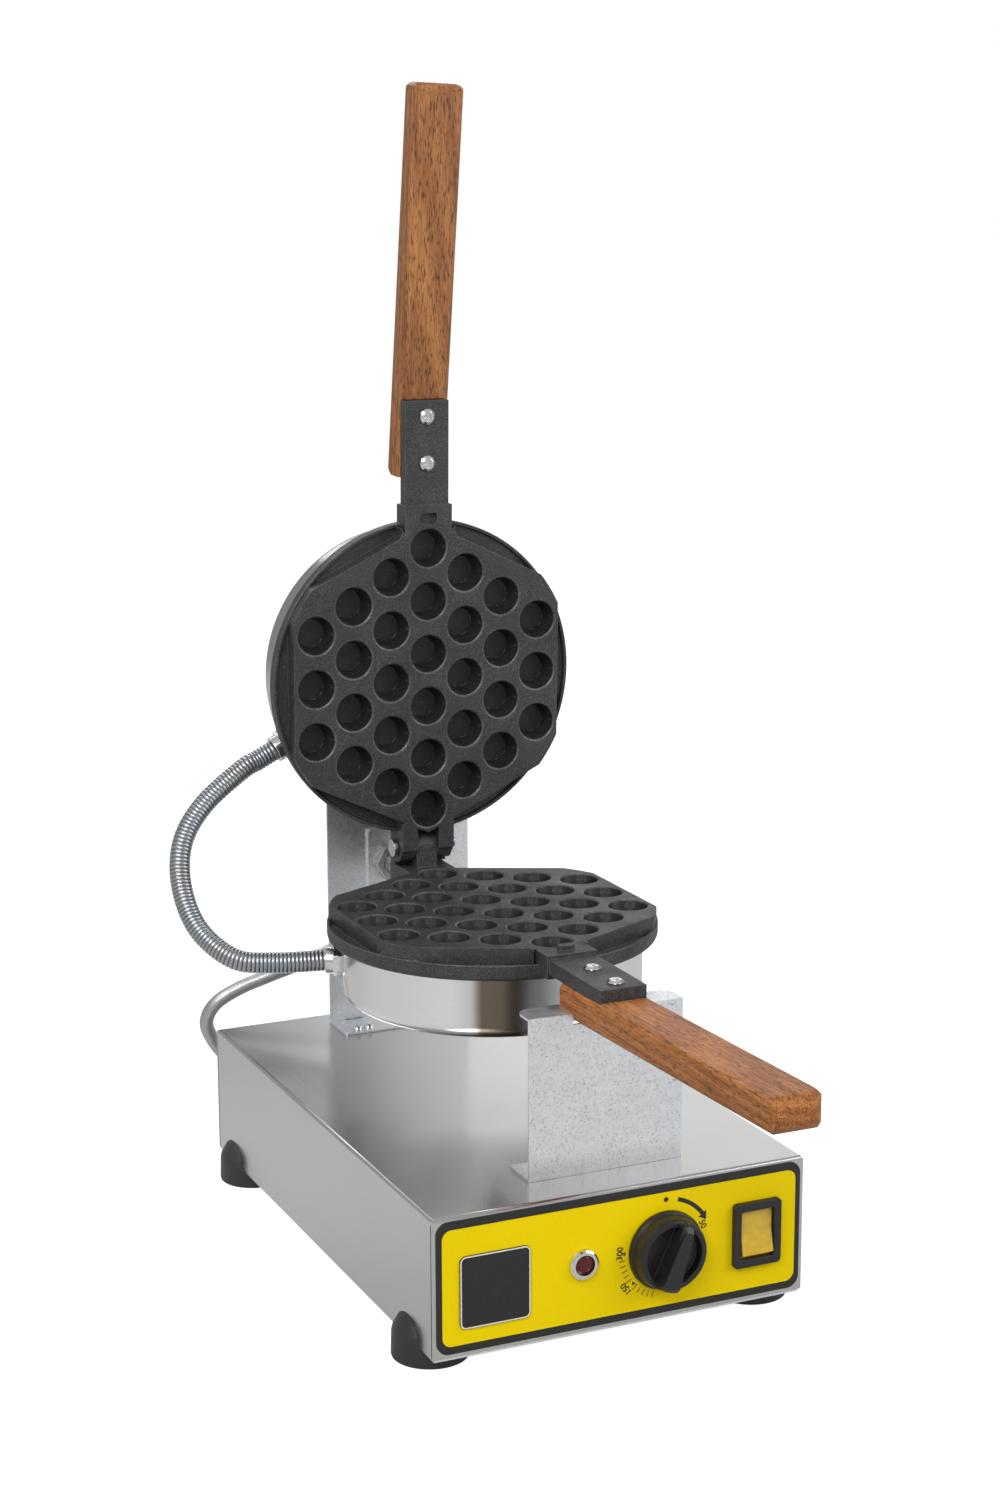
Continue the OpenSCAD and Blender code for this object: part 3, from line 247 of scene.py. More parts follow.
# Moulded plastic: fine pebble grain, gloss that varies a little
def plasticMaterial(name, plastic):
    material, tree, shader, place = startMaterial(name, plastic.get("look", {}))
    grain = noise(tree, place, plastic["grain"], 3, 0.6)
    patches = noise(tree, place, 70.0, 3, 0.5)
    low, high = plastic["rough"]
    tree.links.new(ramp(tree, patches, [(0.3, grey(high)), (0.7, grey(low))]), shader.inputs["Roughness"])
    light = tuple(min(1.0, c * 1.25 + 0.002) for c in plastic["colour"])
    tree.links.new(ramp(tree, grain, [(0.3, plastic["colour"]), (0.75, light)]), shader.inputs["Base Color"])
    bump(tree, shader, grain, plastic["bump"], 0.0001)
    return material


# Painted reflection round a pan's wall: bright and dark stripes of tone, from 0 to 1 for one turn
panPaintedReflection = [(0.0, grey(0.85)), (0.05, grey(0.97)), (0.14, grey(1.0)), (0.158, grey(0.85)),
            (0.172, (0.20, 0.165, 0.13)), (0.206, (0.18, 0.15, 0.12)), (0.225, grey(0.6)), (0.27, grey(1.0)),
            (0.42, grey(0.9)), (0.5, grey(1.0)), (0.6, grey(0.62)), (0.66, grey(0.9)), (0.85, grey(0.97)),
            (0.95, grey(0.8)), (1.0, grey(0.85))]
materials = {
    "stainless": steelMaterial("brushedStainless", {
        "scale": (1500, 8, 1500), "smudge": 7.0, "rough": (0.14, 0.24), "tone": 0.64,
        "tint": (1.0, 0.985, 0.98), "bump": 0.05}),
    "pan_steel": steelMaterial("polishedPanLevel", {
        "scale": (30, 30, 1600), "smudge": 12.0, "rough": (0.14, 0.22), "tone": 0.95,
        "tint": (1.0, 0.98, 0.96), "bump": 0.03, "axis": ((0, 0, 0), (0, 0.0055, 0)), "bands": panPaintedReflection}),
    # The upright pan's copy of the same steel has a lower tone than the level pan's: painted shade
    "pan_up": steelMaterial("polishedPanUpright", {
        "scale": (30, 1600, 30), "smudge": 12.0, "rough": (0.14, 0.22), "tone": 0.74,
        "tint": (1.0, 0.98, 0.96), "bump": 0.03, "bands": panPaintedReflection,
        "axis": ((radians(90), 0, radians(100)), (-0.3437, 0.0606, 0))}),
    "steel_bar": steelMaterial("turnedSteel", {
        "scale": (1300, 30, 1300), "smudge": 30.0, "rough": (0.2, 0.32), "tone": 0.6,
        "tint": (1.0, 1.0, 1.0), "bump": 0.05}),
    "heater_steel": steelMaterial("oxidisedTube", {
        "scale": (300, 300, 300), "smudge": 40.0, "rough": (0.4, 0.6), "tone": 0.22,
        "tint": (0.9, 0.85, 0.8), "bump": 0.1}),
    "chrome_trim": steelMaterial("chromeTrim", {
        "scale": (200, 200, 200), "smudge": 60.0, "rough": (0.06, 0.12), "tone": 0.8,
        "tint": (1.0, 1.0, 1.0), "bump": 0.0}),
    "conduit_ribbed": steelMaterial("ribbedConduitSteel", {
        "scale": (500, 500, 500), "smudge": 60.0, "rough": (0.28, 0.38), "tone": 0.48,
        "tint": (0.88, 0.97, 1.06), "bump": 0.05}),
    "conduit_smooth": steelMaterial("satinConduitSteel", {
        "scale": (700, 700, 700), "smudge": 40.0, "rough": (0.34, 0.46), "tone": 0.52,
        "tint": (0.94, 0.97, 1.0), "bump": 0.08}),
    "zinc_sheet": zincMaterial("spangledZinc", {
        "patch": 260.0, "warp": 0.006, "grain": 620.0, "speck": 0.55, "dark": (0.84, 0.87, 0.90),
        "light": (0.92, 0.94, 0.96), "rough": (0.3, 0.40), "bump": 0.14}),
    "zinc": zincMaterial("brightZinc", {
        "patch": 260.0, "warp": 0.003, "grain": 1400.0, "speck": 0.9, "dark": (0.68, 0.68, 0.68),
        "light": (0.8, 0.8, 0.79), "rough": (0.16, 0.26), "bump": 0.03}),
    "cast_mould": castMaterial("coatedCasting", {
        "metal": 0.0, "dark": (0.030, 0.029, 0.031), "light": (0.052, 0.050, 0.052),
        "rough": (0.42, 0.56), "bump": 0.8}),
    # Chamfer edges: rubbed wear with a painted highlight, paler and more metallic than the face
    "cast_edge_wear_highlight": castMaterial("castEdgeWearAndHighlight", {
        "metal": 0.2, "dark": (0.055, 0.055, 0.055), "light": (0.11, 0.108, 0.106),
        "rough": (0.36, 0.48), "bump": 0.35}),
    # Inside the cells: painted shade, a darker copy of the casting's finish
    "cast_cell_shade": castMaterial("cellPaintedShade", {
        "metal": 0.0, "dark": (0.012, 0.011, 0.011), "light": (0.022, 0.020, 0.020),
        "rough": (0.40, 0.52), "bump": 0.6}),
    "foot_plastic": plasticMaterial("footPlastic", {
        "colour": (0.022, 0.022, 0.025), "grain": 1600.0, "rough": (0.42, 0.52), "bump": 0.12}),
    "black_plastic": plasticMaterial("fittingPlastic", {
        "colour": (0.012, 0.012, 0.012), "grain": 1800.0, "rough": (0.34, 0.44), "bump": 0.08}),
    "knob_black": plasticMaterial("knobPlastic", {
        "colour": (0.011, 0.011, 0.012), "grain": 2200.0, "rough": (0.32, 0.42), "bump": 0.1}),
    "badge_black": plasticMaterial("badgeEnamel", {
        "colour": (0.012, 0.011, 0.011), "grain": 900.0, "rough": (0.22, 0.3), "bump": 0.02}),
    "badge_rim": plasticMaterial("badgeRim", {
        "colour": (0.72, 0.70, 0.64), "grain": 900.0, "rough": (0.3, 0.4), "bump": 0.02}),
    "panel_black": plasticMaterial("panelBorderPrint", {
        "colour": (0.012, 0.012, 0.012), "grain": 1500.0, "rough": (0.34, 0.42), "bump": 0.03}),
    "panel_yellow": plasticMaterial("panelYellowPrint", {
        "colour": (0.96, 0.66, 0.0), "grain": 1500.0, "rough": (0.36, 0.44), "bump": 0.02,
        "look": {"Specular IOR Level": 0.1}}),
    "ceramic": plasticMaterial("glazedBlock", {
        "colour": (0.62, 0.58, 0.48), "grain": 600.0, "rough": (0.3, 0.5), "bump": 0.05}),
    "wool": plasticMaterial("pressedFibre", {
        "colour": (0.62, 0.58, 0.5), "grain": 300.0, "rough": (0.85, 0.95), "bump": 0.8}),
    "rocker_amber": plasticMaterial("amberLens", {
        "colour": (0.68, 0.44, 0.022), "grain": 240.0, "rough": (0.12, 0.2), "bump": 0.03,
        "look": {"Coat Weight": 0.6, "Coat Roughness": 0.08, "Subsurface Weight": 0.25,
                 "Subsurface Radius": (0.004, 0.002, 0.0005)}}),
    "lamp_red": plasticMaterial("redLens", {
        "colour": (0.085, 0.004, 0.002), "grain": 500.0, "rough": (0.10, 0.16), "bump": 0.02,
        "look": {"Coat Weight": 0.35, "Coat Roughness": 0.04, "Specular IOR Level": 0.3}}),
    "wood_up": woodMaterial("beechUpright", {
        "turn": (0, 0, 0), "shift": (0.0, -0.17, 0.0), "dark": (0.21, 0.078, 0.026),
        "mid": (0.39, 0.157, 0.054), "light": (0.52, 0.24, 0.088)}),
    "wood_flat": woodMaterial("beechLevel", {
        "turn": (radians(90), 0, 0), "shift": (0.0, 0.0, 0.0), "dark": (0.23, 0.078, 0.020),
        "mid": (0.43, 0.158, 0.040), "light": (0.58, 0.24, 0.066)}),
}
materials["panel_print"] = materials["panel_black"]
materials["handle_wood"] = materials["wood_up"]


# Painted shade: the ribbed conduit's grooves are darkened below its ribs
def paintGrooveShade(material):
    tree = material.node_tree
    shader = tree.nodes["Principled BSDF"]
    tone = shader.inputs["Base Color"].links[0].from_socket
    crest = addNode(tree, "ShaderNodeAttribute", attribute_name="ribCrest").outputs["Fac"]
    # bluish dark painted shade in each groove, none on the crests
    shade = ramp(tree, crest, [(0.15, (0.10, 0.11, 0.13)), (0.75, grey(1.0))])
    tree.links.new(multiplied(tree, tone, shade), shader.inputs["Base Color"])


paintGrooveShade(materials["conduit_ribbed"])
print("materials:", len(materials))


# A new piece with its finishes; sharp is the angle past which an edge of a rounded piece stays hard
def linkPiece(name, mesh, body, finishes, sharp=None):
    if sharp:
        mesh.polygons.foreach_set("use_smooth", np.ones(len(mesh.polygons), bool))
        mesh.set_sharp_from_angle(angle=radians(sharp))
    piece = bpy.data.objects.new(name, mesh)
    for finish in finishes:
        mesh.materials.append(materials[finish])
    bpy.context.scene.collection.objects.link(piece)
    if body:
        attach(piece, body)
    return piece


softening = {
    "merge": 2e-6,      # metres
    "flat": 0.4,        # degrees between faces that are joined as one
    "room": 1.6,        # an edge is rounded where both of its faces are this many roundings wide
}


# A copy of a node with its loose triangles merged, its flat faces joined and its sharp edges rounded.
# Width is in millimetres, and edges under the angle stay as they are. The bevels take the first finish in edge.
def dressNode(node, name, width=0.3, segments=2, finish=None, edge=(), angle=32, coats=None, join=True,
              reshape=None):
    size = width * mm
    mesh = bpy.data.meshes.new(name)
    work = bmesh.new()
    work.from_mesh(nodes[node].data)
    bmesh.ops.remove_doubles(work, verts=work.verts, dist=softening["merge"])
    if join:
        bmesh.ops.dissolve_limit(work, angle_limit=radians(softening["flat"]), verts=work.verts,
                                 edges=work.edges)
    if reshape:
        reshape(work)
    weight = work.edges.layers.float.new("bevel_weight_edge")
    for face in work.faces:
        face.material_index = coats(face) if coats else 0
        face.smooth = True
    for line in work.edges:
        if len(line.link_faces) != 2 or line.calc_face_angle() < radians(angle):
            continue
        least = softening["room"] * size * line.calc_length()
        roomy = all(face.calc_area() > least for face in line.link_faces)
        line[weight] = float(roomy)
        line.smooth = roomy
    work.to_mesh(mesh)
    work.free()
    piece = linkPiece(name, mesh, bodies[node], [finish or slots[node], *edge])
    bevel = piece.modifiers.new("softEdges", "BEVEL")
    bevel.width = size
    bevel.segments = segments
    bevel.limit_method = "WEIGHT"
    bevel.use_clamp_overlap = False
    bevel.loop_slide = False
    if edge:
        bevel.material = 1
    shading = piece.modifiers.new("evenShading", "WEIGHTED_NORMAL")
    shading.keep_sharp = True
    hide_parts(node)


# Grid of points (rows, columns, 3) made a mesh of quads; each row can close on itself, and caps fill its ends
def gridMesh(name, grid, closed=False, caps=False):
    rows, columns = grid.shape[:2]
    i = np.arange(rows - 1)[:, None]
    j = np.arange(columns if closed else columns - 1)[None, :]
    ni, nj = i + 1, (j + 1) % columns
    corners = (i * columns + j, ni * columns + j, ni * columns + nj, i * columns + nj)
    faces = np.stack(corners, -1).reshape(-1, 4).tolist()
    if caps:
        faces += [list(range(columns)), list(range(rows * columns - 1, (rows - 1) * columns - 1, -1))]
    mesh = bpy.data.meshes.new(name)
    mesh.from_pydata(grid.reshape(-1, 3).tolist(), [], faces)
    work = bmesh.new()
    work.from_mesh(mesh)
    bmesh.ops.remove_doubles(work, verts=work.verts, dist=1e-6)
    bmesh.ops.recalc_face_normals(work, faces=work.faces)
    work.to_mesh(mesh)
    work.free()
    return mesh


# Smooth curve through points: each stretch is a cubic whose end slopes are half the chord of its neighbours
def smoothRoute(points, steps):
    p = np.asarray(points, float)
    last = len(p) - 1
    i = np.repeat(np.arange(last), steps)
    t = np.tile(np.arange(steps) / steps, last)[:, None]
    a, b, c, d = p[np.maximum(i - 1, 0)], p[i], p[i + 1], p[np.minimum(i + 2, last)]
    squared, cubed = 2 * a - 5 * b + 4 * c - d, 3 * b - a - 3 * c + d
    curve = 0.5 * (2 * b + (c - a) * t + squared * t ** 2 + cubed * t ** 3)
    return np.vstack([curve, p[-1:]])


# Points at even distances along a curve, and each one's distance from its start
def evenly(curve, count):
    run = np.concatenate([[0], np.cumsum(np.linalg.norm(np.diff(curve, axis=0), axis=1))])
    s = np.linspace(0, run[-1], count)
    return np.stack([np.interp(s, run, curve[:, k]) for k in range(3)], -1), s


# Tube round a route: at each point a circle of the given radius stands square to the route
def tubeGrid(curve, radius, sides, across):
    ahead = np.gradient(curve, axis=0)
    ahead /= np.linalg.norm(ahead, axis=1)[:, None]
    u = np.cross(ahead, across)
    u /= np.linalg.norm(u, axis=1)[:, None]
    v = np.cross(ahead, u)
    a = np.linspace(0, 2 * pi, sides, endpoint=False)
    r = np.reshape(radius, (-1, 1, 1))      # one for the whole tube, or one for each point
    return curve[:, None] + r * (np.cos(a)[None, :, None] * u[:, None] + np.sin(a)[None, :, None] * v[:, None])


castRules = {       # slope is the part of a face's normal along its mould's opening side, depth is in metres
    "chamferSlope": (0.3, 0.97),
    "cellMouth": (0.00001, 0.0009),
    "ringRim": (0.0085, 0.00905),
    "wallSlope": (0.25, 0.285),
    "wallDepth": (0.0008, 0.0125),
    "floorSlope": 0.99,
    "floorDepth": 0.0122,
}


def within(value, limits):
    return limits[0] < value < limits[1]


# Which finish a face of a casting takes, told by its depth under the mould's face and its slope: 1 on the
# chamfers round each cell and on the ring's rim, rubbed wear with a painted highlight, 2 inside the cells,
# painted shade, and 0 elsewhere
def castZones(point, ahead, rules=castRules):
    def zoneOf(face):
        depth = (Vector(point) - face.calc_center_median()).dot(Vector(ahead))
        slope = face.normal.dot(Vector(ahead))
        # cell mouths and the ring's rim, which take wear with a painted highlight
        wornAndLit = within(depth, rules["cellMouth"]) or within(depth, rules["ringRim"])
        if wornAndLit and within(slope, rules["chamferSlope"]):
            return 1
        wall = within(slope, rules["wallSlope"]) and within(depth, rules["wallDepth"])
        cellFloor = slope > rules["floorSlope"] and depth > rules["floorDepth"]
        return 2 if wall or cellFloor else 0
    return zoneOf


cutTip = {
    "half": 0.01725,        # half of the handle's width
    "corner": 0.005,        # rounding that the tip has
    "radius": 0.012,        # rounding that its right-hand corner gets
    "cuts": (0.0008, 0.002, 0.0035, 0.0052, 0.0075, 0.0098, 0.012),     # places of new edges, back from the tip
}


# The level handle's right-hand corner at its tip becomes a quarter circle: at each distance back from the tip,
# x is scaled by the half width that a rounding of the new radius leaves over what the present rounding leaves
def cutCorner(work, c=cutTip):
    tip = min(v.co.y for v in work.verts)
    for back in c["cuts"]:
        bmesh.ops.bisect_plane(work, geom=list(work.verts) + list(work.edges) + list(work.faces), dist=1e-6,
                               plane_co=(0, tip + back, 0), plane_no=(0, 1, 0))
    for v in work.verts:
        back = v.co.y - tip
        if v.co.x > 0 and back < c["radius"]:
            wanted = c["half"] - c["radius"] + (c["radius"] ** 2 - (c["radius"] - back) ** 2) ** 0.5
            present = c["half"] - c["corner"] + (c["corner"] ** 2 - max(c["corner"] - back, 0) ** 2) ** 0.5
            v.co.x *= wanted / present


dressing = {
    "base_shell": {"width": 0.25},
    "bottom_plate": {"width": 0.2},
    "control_panel": {"width": 0.15, "finish": "panel_black"},
    "front_bracket": {"width": 0.3},
    "rear_bracket": {"width": 0.3},
    # The moulds' cells take painted shade, their chamfers wear with a painted highlight
    "lower_mould": {"width": 0.3, "join": False, "edge": ("cast_edge_wear_highlight", "cast_cell_shade"),
                    "coats": castZones((0, -0.0055, 0.217), (0, 0, 1))},
    "upper_mould": {"width": 0.3, "join": False, "edge": ("cast_edge_wear_highlight", "cast_cell_shade"),
                    "coats": castZones((0, 0.09771, 0.34898), (0, -0.99974, -0.02269))},
    "lower_handle": {"width": 0.8, "segments": 3, "finish": "wood_flat", "angle": 60, "reshape": cutCorner},
    "upper_handle": {"width": 0.8, "segments": 3, "finish": "wood_up", "angle": 60},
    "lower_pan": {"width": 0.2},
    "upper_pan": {"width": 0.2, "finish": "pan_up"},
    "knob": {"width": 0.5, "segments": 3},
    "switch_frame": {"width": 0.6, "segments": 3},
    "panel_badge": {"width": 0.12},
    "pivot_plate": {"width": 0.3},
    "lower_gland": {"width": 0.4, "join": False},
    "upper_gland": {"width": 0.4, "join": False},
    "supply_gland": {"width": 0.4, "join": False},
    "supply_elbow": {"width": 0.4},
    "pivot_nuts": {"width": 0.5, "finish": "conduit_smooth"},
    "lower_handle_screws": {"width": 0.25},
    "upper_handle_screws": {"width": 0.25},
    "bracket_screws": {"width": 0.2},
    "lower_pan_screws": {"width": 0.2},
    "upper_pan_screws": {"width": 0.2},
    "hinge_pin": {"width": 0.4},
    "cord_gland": {"width": 0.4},
    "foot_front_left": {"width": 0.5},
    "foot_front_right": {"width": 0.5},
    "foot_rear_left": {"width": 0.5},
    "foot_rear_right": {"width": 0.5},
}


def pieceName(node):
    first, *rest = node.split("_")
    return first + "".join(word.capitalize() for word in rest)


for node, how in dressing.items():
    dressNode(node, pieceName(node), **how)
print("dressed nodes:", len(dressing))

# Routes repeat the part's own points, in metres
ribbedConduit = {
    "route": [(-0.110, 0.136, 0.296), (-0.122, 0.134, 0.291), (-0.151, 0.129, 0.271), (-0.169, 0.121, 0.249),
              (-0.175, 0.108, 0.223), (-0.171, 0.087, 0.198), (-0.155, 0.064, 0.182), (-0.132, 0.053, 0.179)],
    "start": [(-0.09815, 0.13579, 0.30196)],        # mouths of the two glands
    "end": [(-0.09897, 0.04065, 0.18)],
    "radius": 0.0070,
    "rib": 0.0026,        # pitch of the ribs
    "depth": 0.0005,
    "roundness": 0.7,     # under 1 the ribs are broader than the grooves
    "steps": 30,
    "ringsPerRib": 8,
    "sides": 28,
    "across": (0, 1, 0.1),      # a way that the route never runs along
}


# Radius is greatest on each rib and falls into the groove as a power of the sine of the distance run
def ribbedPiece(c):
    curve = smoothRoute(c["start"] + c["route"] + c["end"], c["steps"])
    length = np.linalg.norm(np.diff(curve, axis=0), axis=1).sum()
    path, s = evenly(curve, int(length / c["rib"] * c["ringsPerRib"]))
    wave = np.abs(np.sin(pi * s / c["rib"])) ** c["roundness"]
    grid = tubeGrid(path, c["radius"] - c["depth"] + c["depth"] * wave, c["sides"], c["across"])
    mesh = gridMesh("ribbedConduit", grid, closed=True, caps=True)
    crest = mesh.attributes.new("ribCrest", "FLOAT", "POINT")       # 0 in a groove, 1 on a rib
    crest.data.foreach_set("value", np.repeat(wave, c["sides"]).astype(np.float32))
    piece = linkPiece("ribbedConduit", mesh, None, ["conduit_ribbed"], sharp=80)
    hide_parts("lid_conduit")
    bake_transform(piece)


smoothConduit = {
    "route": [(-0.099, 0.217, 0.049), (-0.108, 0.223, 0.058), (-0.119, 0.221, 0.073), (-0.125, 0.217, 0.089),
              (-0.119, 0.213, 0.103), (-0.102, 0.210, 0.113), (-0.080, 0.206, 0.121), (-0.057, 0.203, 0.128),
              (-0.033, 0.201, 0.136), (-0.012, 0.200, 0.148)],
    "start": [(-0.098, 0.209, 0.048)],
    "end": [(0.0, 0.200, 0.168), (0.0, 0.200, 0.186)],
    "radius": 0.0050,
    "steps": 20,
    "rings": 170,
    "sides": 24,
    "across": (0.6, 0.6, -0.5),
}


def smoothPiece(c):
    curve = evenly(smoothRoute(c["start"] + c["route"] + c["end"], c["steps"]), c["rings"])[0]
    grid = tubeGrid(curve, c["radius"], c["sides"], c["across"])
    mesh = gridMesh("supplyConduit", grid, closed=True, caps=True)
    piece = linkPiece("supplyConduit", mesh, "base", ["conduit_smooth"], sharp=80)
    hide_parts("supply_conduit")


smoothPiece(smoothConduit)
ribbedPiece(ribbedConduit)
print("conduits made")

panel = {
    "front": -0.1958,
    "width": 0.238, "low": 0.0095, "high": 0.0825, "radius": 0.006,     # yellow field
    "lift": 0.00012,        # of the field from the panel
    "inkLift": 0.0002,      # of the black print
}


# A flat mesh faces the front
def faceFront(mesh):
    mesh.update()
    if mesh.polygons[0].normal.y > 0:
        mesh.flip_normals()


# Print in the panel's plane, u to the right and v up: one outline, or an array of outlines of as many points
def flatPiece(name, outlines, lift, finish):
    uv = np.asarray(outlines, float)
    u, v = uv[..., 0].ravel(), uv[..., 1].ravel()
    mesh = bpy.data.meshes.new(name)
    points = np.stack([u, np.full_like(u, panel["front"] - lift), v], -1)
    mesh.from_pydata(points.tolist(), [], np.arange(len(u)).reshape(-1, uv.shape[-2]).tolist())
    faceFront(mesh)
    linkPiece(name, mesh, "base", [finish])


# Rectangle with a quarter circle of radius r at each corner
def roundedRect(x0, x1, z0, z1, r, steps=10):
    a = np.linspace(0, pi / 2, steps)
    corners = [(x1 - r, z1 - r, 0), (x0 + r, z1 - r, pi / 2), (x0 + r, z0 + r, pi), (x1 - r, z0 + r, 1.5 * pi)]
    return np.vstack([np.stack([cx + r * np.cos(a + t), cz + r * np.sin(a + t)], -1) for cx, cz, t in corners])


flatPiece("panelYellow", roundedRect(-panel["width"] / 2, panel["width"] / 2, panel["low"], panel["high"],
                                     panel["radius"]), panel["lift"], "panel_yellow")

rim = {"inset": 0.00025, "wide": 0.0009, "radius": 0.004, "lift": 0.00006}


# Thin pale line just inside the badge's edge: a band between two rounded outlines
def badgeRim(c):
    corners = np.array([nodes["panel_badge"].matrix_world @ v.co for v in nodes["panel_badge"].data.vertices])
    (x0, y0, z0), (x1, _, z1) = corners.min(0), corners.max(0)
    insets = (c["inset"], c["inset"] + c["wide"])
    rings = [roundedRect(x0 + d, x1 - d, z0 + d, z1 - d, c["radius"] - d) for d in insets]
    front = y0 - c["lift"]
    grid = np.stack([np.stack([ring[:, 0], np.full(len(ring), front), ring[:, 1]], -1) for ring in rings])
    mesh = gridMesh("badgeRim", grid, closed=True)
    faceFront(mesh)
    linkPiece("badgeRim", mesh, "base", ["badge_rim"])


badgeRim(rim)
dial = {        # angles are anticlockwise from the right
    "centre": (0.028, 0.046),
    "arrowRadius": 0.0318, "arrowFrom": 74, "arrowTo": 36, "arrowWidth": 0.0027,
    "headWidth": 0.0066, "headLong": 9,
    "dot": (0.0286, 0.0777), "dotRadius": 0.0016,
    "tickIn": 0.0272, "tickOut": 0.0312, "tickWidth": 0.0006,
    "ticks": (186, 193, 200, 207, 214, 226, 233, 240, 247, 254),
    "numbers": (("300", 176, 0.0305), ("150", 219, 0.0335), ("50", 24, 0.0285)),
    "numberSize": 0.0058, "numberBold": 0.00014,
    "pointers": ((177, 0.0268), (221, 0.0275)), "pointerLong": 0.0022, "pointerWide": 3,
}


# Point on the dial at an angle and a radius
def onDial(degrees, radius):
    a = np.radians(degrees)
    return np.stack([dial["centre"][0] + radius * np.cos(a), dial["centre"][1] + radius * np.sin(a)], -1)


def dialArrow(d):
    sweep = np.linspace(d["arrowFrom"], d["arrowTo"], 24)
    middle, half, wide = d["arrowRadius"], d["arrowWidth"] / 2, d["headWidth"] / 2
    outer = onDial(sweep, middle + half)
    inner = onDial(sweep[::-1], middle - half)
    head = [onDial(d["arrowTo"], middle + wide), onDial(d["arrowTo"] - d["headLong"], middle),
            onDial(d["arrowTo"], middle - wide)]
    flatPiece("dialArrow", np.vstack([outer, head, inner]), panel["inkLift"], "panel_black")


# Each tick is a four-cornered bar that widens slightly outwards
def dialTicks(d):
    a = np.asarray(d["ticks"], float)
    wide = np.degrees(d["tickWidth"] / 2 / d["tickOut"])
    bars = np.stack([onDial(a - wide, d["tickIn"]), onDial(a - wide, d["tickOut"]),
                     onDial(a + wide, d["tickOut"]), onDial(a + wide, d["tickIn"])], 1)
    flatPiece("dialTicks", bars, panel["inkLift"], "panel_black")


def dialDot(d):
    a = np.linspace(0, 2 * pi, 24, endpoint=False)
    ring = np.stack([d["dot"][0] + d["dotRadius"] * np.cos(a), d["dot"][1] + d["dotRadius"] * np.sin(a)], -1)
    flatPiece("dialDot", ring, panel["inkLift"], "panel_black")


# A number on the dial, its foot towards the centre
def dialNumber(words, degrees, radius):
    curve = bpy.data.curves.new("dialNumber", "FONT")
    curve.body = words
    curve.size = dial["numberSize"]
    curve.align_x = "CENTER"
    curve.align_y = "CENTER"
    curve.resolution_u = 3
    curve.offset = dial["numberBold"]
    holder = bpy.data.objects.new("dialNumber", curve)
    bpy.context.scene.collection.objects.link(holder)
    bpy.context.view_layer.update()
    mesh = bpy.data.meshes.new_from_object(holder.evaluated_get(bpy.context.evaluated_depsgraph_get()))
    bpy.data.objects.remove(holder)
    u, v = onDial(degrees, radius)
    stand = Matrix.Rotation(radians(90), 4, "X") @ Matrix.Rotation(radians(degrees - 90), 4, "Z")
    mesh.transform(Matrix.Translation((u, panel["front"] - panel["inkLift"], v)) @ stand)
    mesh.materials.clear()
    linkPiece("dialNumber" + words, mesh, "base", ["panel_black"])


# Small triangle that points outwards
def dialPointer(name, d, degrees, radius):
    outline = np.stack([onDial(degrees, radius + d["pointerLong"]), onDial(degrees + d["pointerWide"], radius),
                        onDial(degrees - d["pointerWide"], radius)])
    flatPiece(name, outline, panel["inkLift"], "panel_black")


dialArrow(dial)
dialTicks(dial)
dialDot(dial)
for words, degrees, radius in dial["numbers"]:
    dialNumber(words, degrees, radius)
for k, (degrees, radius) in enumerate(dial["pointers"]):
    dialPointer("dialPointer%d" % (k + 1), dial, degrees, radius)
print("panel print made")

for name, node in nodes.items():
    node.data.materials.clear()
    node.data.materials.append(materials[slots[name]])

studio = {
    "softLights": {
        "keyLight": {"place": (-1.5, -1.6, 2.1), "size": 1.5, "power": 42.0},
        "fillLight": {"place": (2.0, -1.4, 1.3), "size": 1.6, "power": 22.0},
        "backLight": {"place": (0.4, 2.2, 2.2), "size": 1.6, "power": 20.0},
    },
    "lightAim": (0, 0, 0.2),
    "poolPlace": (-0.9, 0.3, 1.5), "poolAim": (-0.25, 0.18, 0.0), "poolPower": 26.0, "poolAngle": 17,
    "poolSoftness": 0.03,
    # Middle of the bright wall behind: clockwise from +Y and above level, and the tone by the cosine to it
    "glowAzimuth": 34, "glowHeight": 10,
    "sky": [(0.0, 0.52), (0.80, 0.40), (0.88, 0.06), (0.964, 0.04), (0.988, 1.15), (1.0, 1.15)],
    "floorHeight": -0.012, "floorHalf": 6, "floorTone": 0.42,
    "floorGlow": 0.9,       # added where the camera sees the floor
    "floorSheen": 0.21,     # added where metal mirrors it
}


def aimed(lamp, place, target):
    lamp.location = place
    lamp.rotation_euler = (Vector(target) - Vector(place)).to_track_quat("-Z", "Y").to_euler()
    bpy.context.scene.collection.objects.link(lamp)


def softLight(name, light, target):
    data = bpy.data.lights.new(name, "AREA")
    data.shape = "RECTANGLE"
    data.size = light["size"]
    data.size_y = light["size"]
    data.energy = light["power"]
    aimed(bpy.data.objects.new(name, data), light["place"], target)


# A soft pool of light on the floor beside the base
def poolLight(s):
    data = bpy.data.lights.new("poolLight", "SPOT")
    data.energy = s["poolPower"]
    data.spot_size = radians(s["poolAngle"])
    data.spot_blend = 1.0
    data.shadow_soft_size = s["poolSoftness"]
    aimed(bpy.data.objects.new("poolLight", data), s["poolPlace"], s["poolAim"])


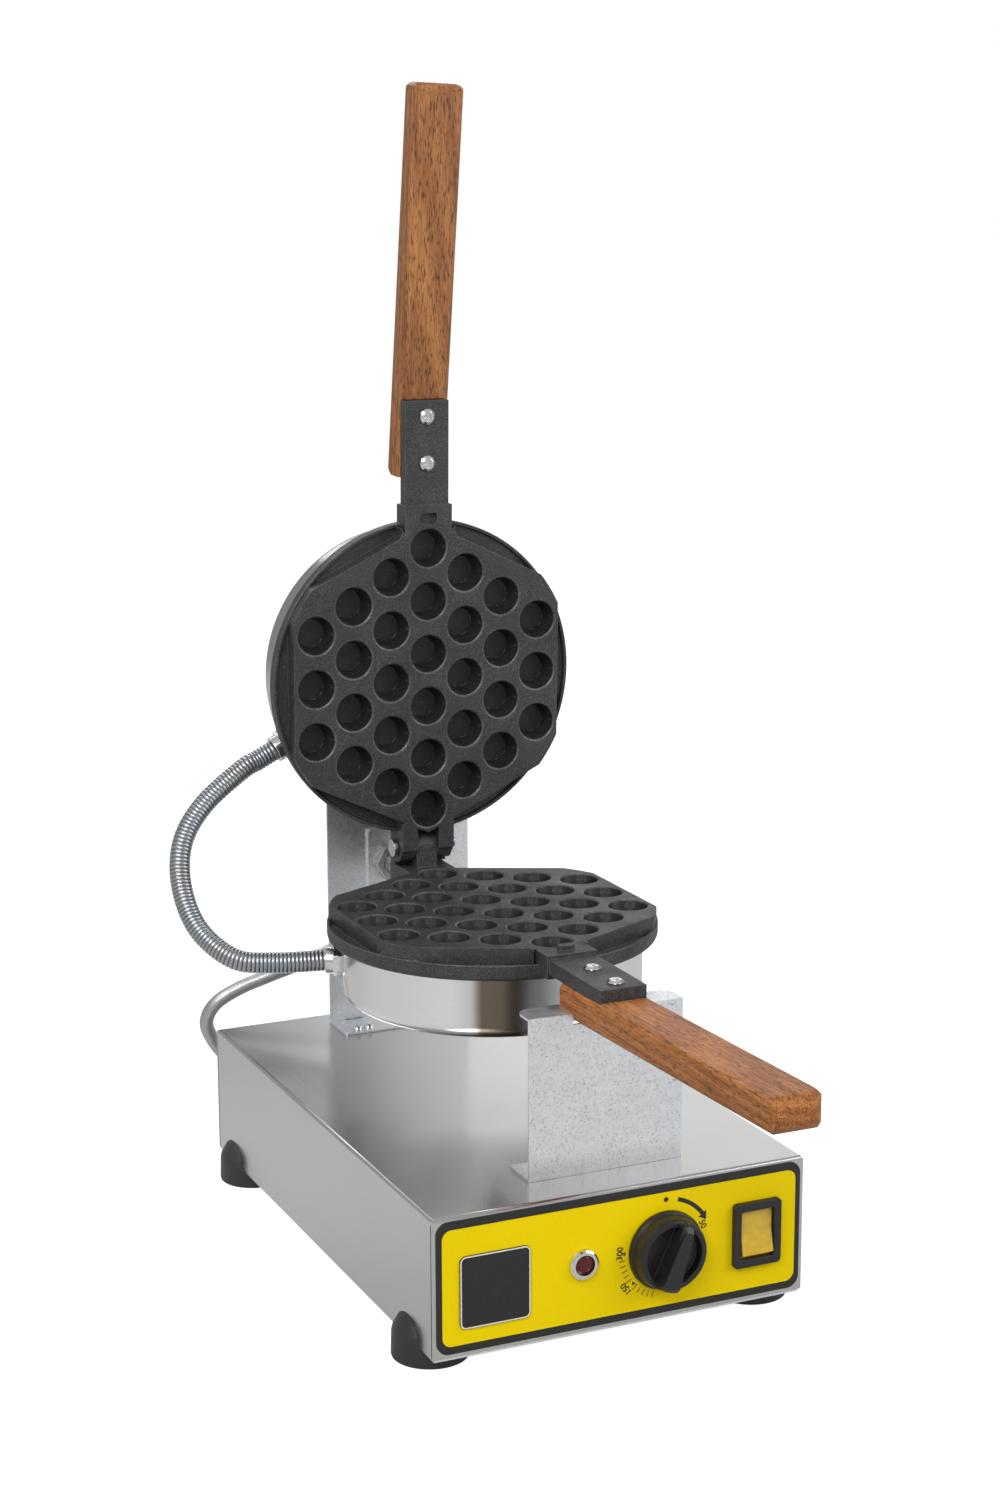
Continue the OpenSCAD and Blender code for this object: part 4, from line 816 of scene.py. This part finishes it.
# White to the camera; to everything else a dim room whose tone follows the cosine of the angle to a bright wall
def makeWorld(s):
    world = bpy.data.worlds.new("studioWorld")
    bpy.context.scene.world = world
    world.use_nodes = True
    tree = world.node_tree
    tree.nodes.clear()
    path = addNode(tree, "ShaderNodeLightPath")
    way = addNode(tree, "ShaderNodeTexCoord").outputs["Generated"]
    a, e = radians(s["glowAzimuth"]), radians(s["glowHeight"])
    wallWay = (sin(a), cos(a), sin(e))
    toWall = addNode(tree, "ShaderNodeVectorMath", {0: way, 1: wallWay}, operation="DOT_PRODUCT")
    sky = ramp(tree, toWall.outputs["Value"], [(at, grey(level)) for at, level in s["sky"]], "EASE")
    seen = addNode(tree, "ShaderNodeBackground", {"Color": (1, 1, 1, 1), "Strength": 1.0})
    around = addNode(tree, "ShaderNodeBackground", {"Color": sky, "Strength": 1.0})
    both = addNode(tree, "ShaderNodeMixShader", {0: path.outputs["Is Camera Ray"], 1: around.outputs[0],
                                                 2: seen.outputs[0]})
    addNode(tree, "ShaderNodeOutputWorld", {"Surface": both.outputs[0]})


# Pale matte floor that keeps the shadow, with some glow added for the camera and for mirrored rays
def makeFloor(s):
    half, z = s["floorHalf"], s["floorHeight"]
    corners = [[(-half, -half, z), (-half, half, z)], [(half, -half, z), (half, half, z)]]
    mesh = gridMesh("floor", np.array(corners, float))
    floor = bpy.data.objects.new("floor", mesh)
    bpy.context.scene.collection.objects.link(floor)
    material = bpy.data.materials.new("paleFloor")
    material.use_nodes = True
    tree = material.node_tree
    tree.nodes.clear()
    path = addNode(tree, "ShaderNodeLightPath")
    matte = addNode(tree, "ShaderNodeBsdfDiffuse", {"Color": (*grey(s["floorTone"]), 1)})
    shown = matte
    for ray, strength in (("Is Glossy Ray", s["floorSheen"]), ("Is Camera Ray", s["floorGlow"])):
        glow = addNode(tree, "ShaderNodeEmission", {"Color": (1, 1, 1, 1), "Strength": strength})
        lit = addNode(tree, "ShaderNodeAddShader", {0: matte.outputs[0], 1: glow.outputs[0]})
        shown = addNode(tree, "ShaderNodeMixShader", {0: path.outputs[ray], 1: shown.outputs[0],
                                                      2: lit.outputs[0]})
    addNode(tree, "ShaderNodeOutputMaterial", {"Surface": shown.outputs[0]})
    mesh.materials.append(material)


for name, light in studio["softLights"].items():
    softLight(name, light, studio["lightAim"])
poolLight(studio)
makeWorld(studio)
makeFloor(studio)
bpy.context.scene.view_settings.view_transform = "Standard"
print("studio made")
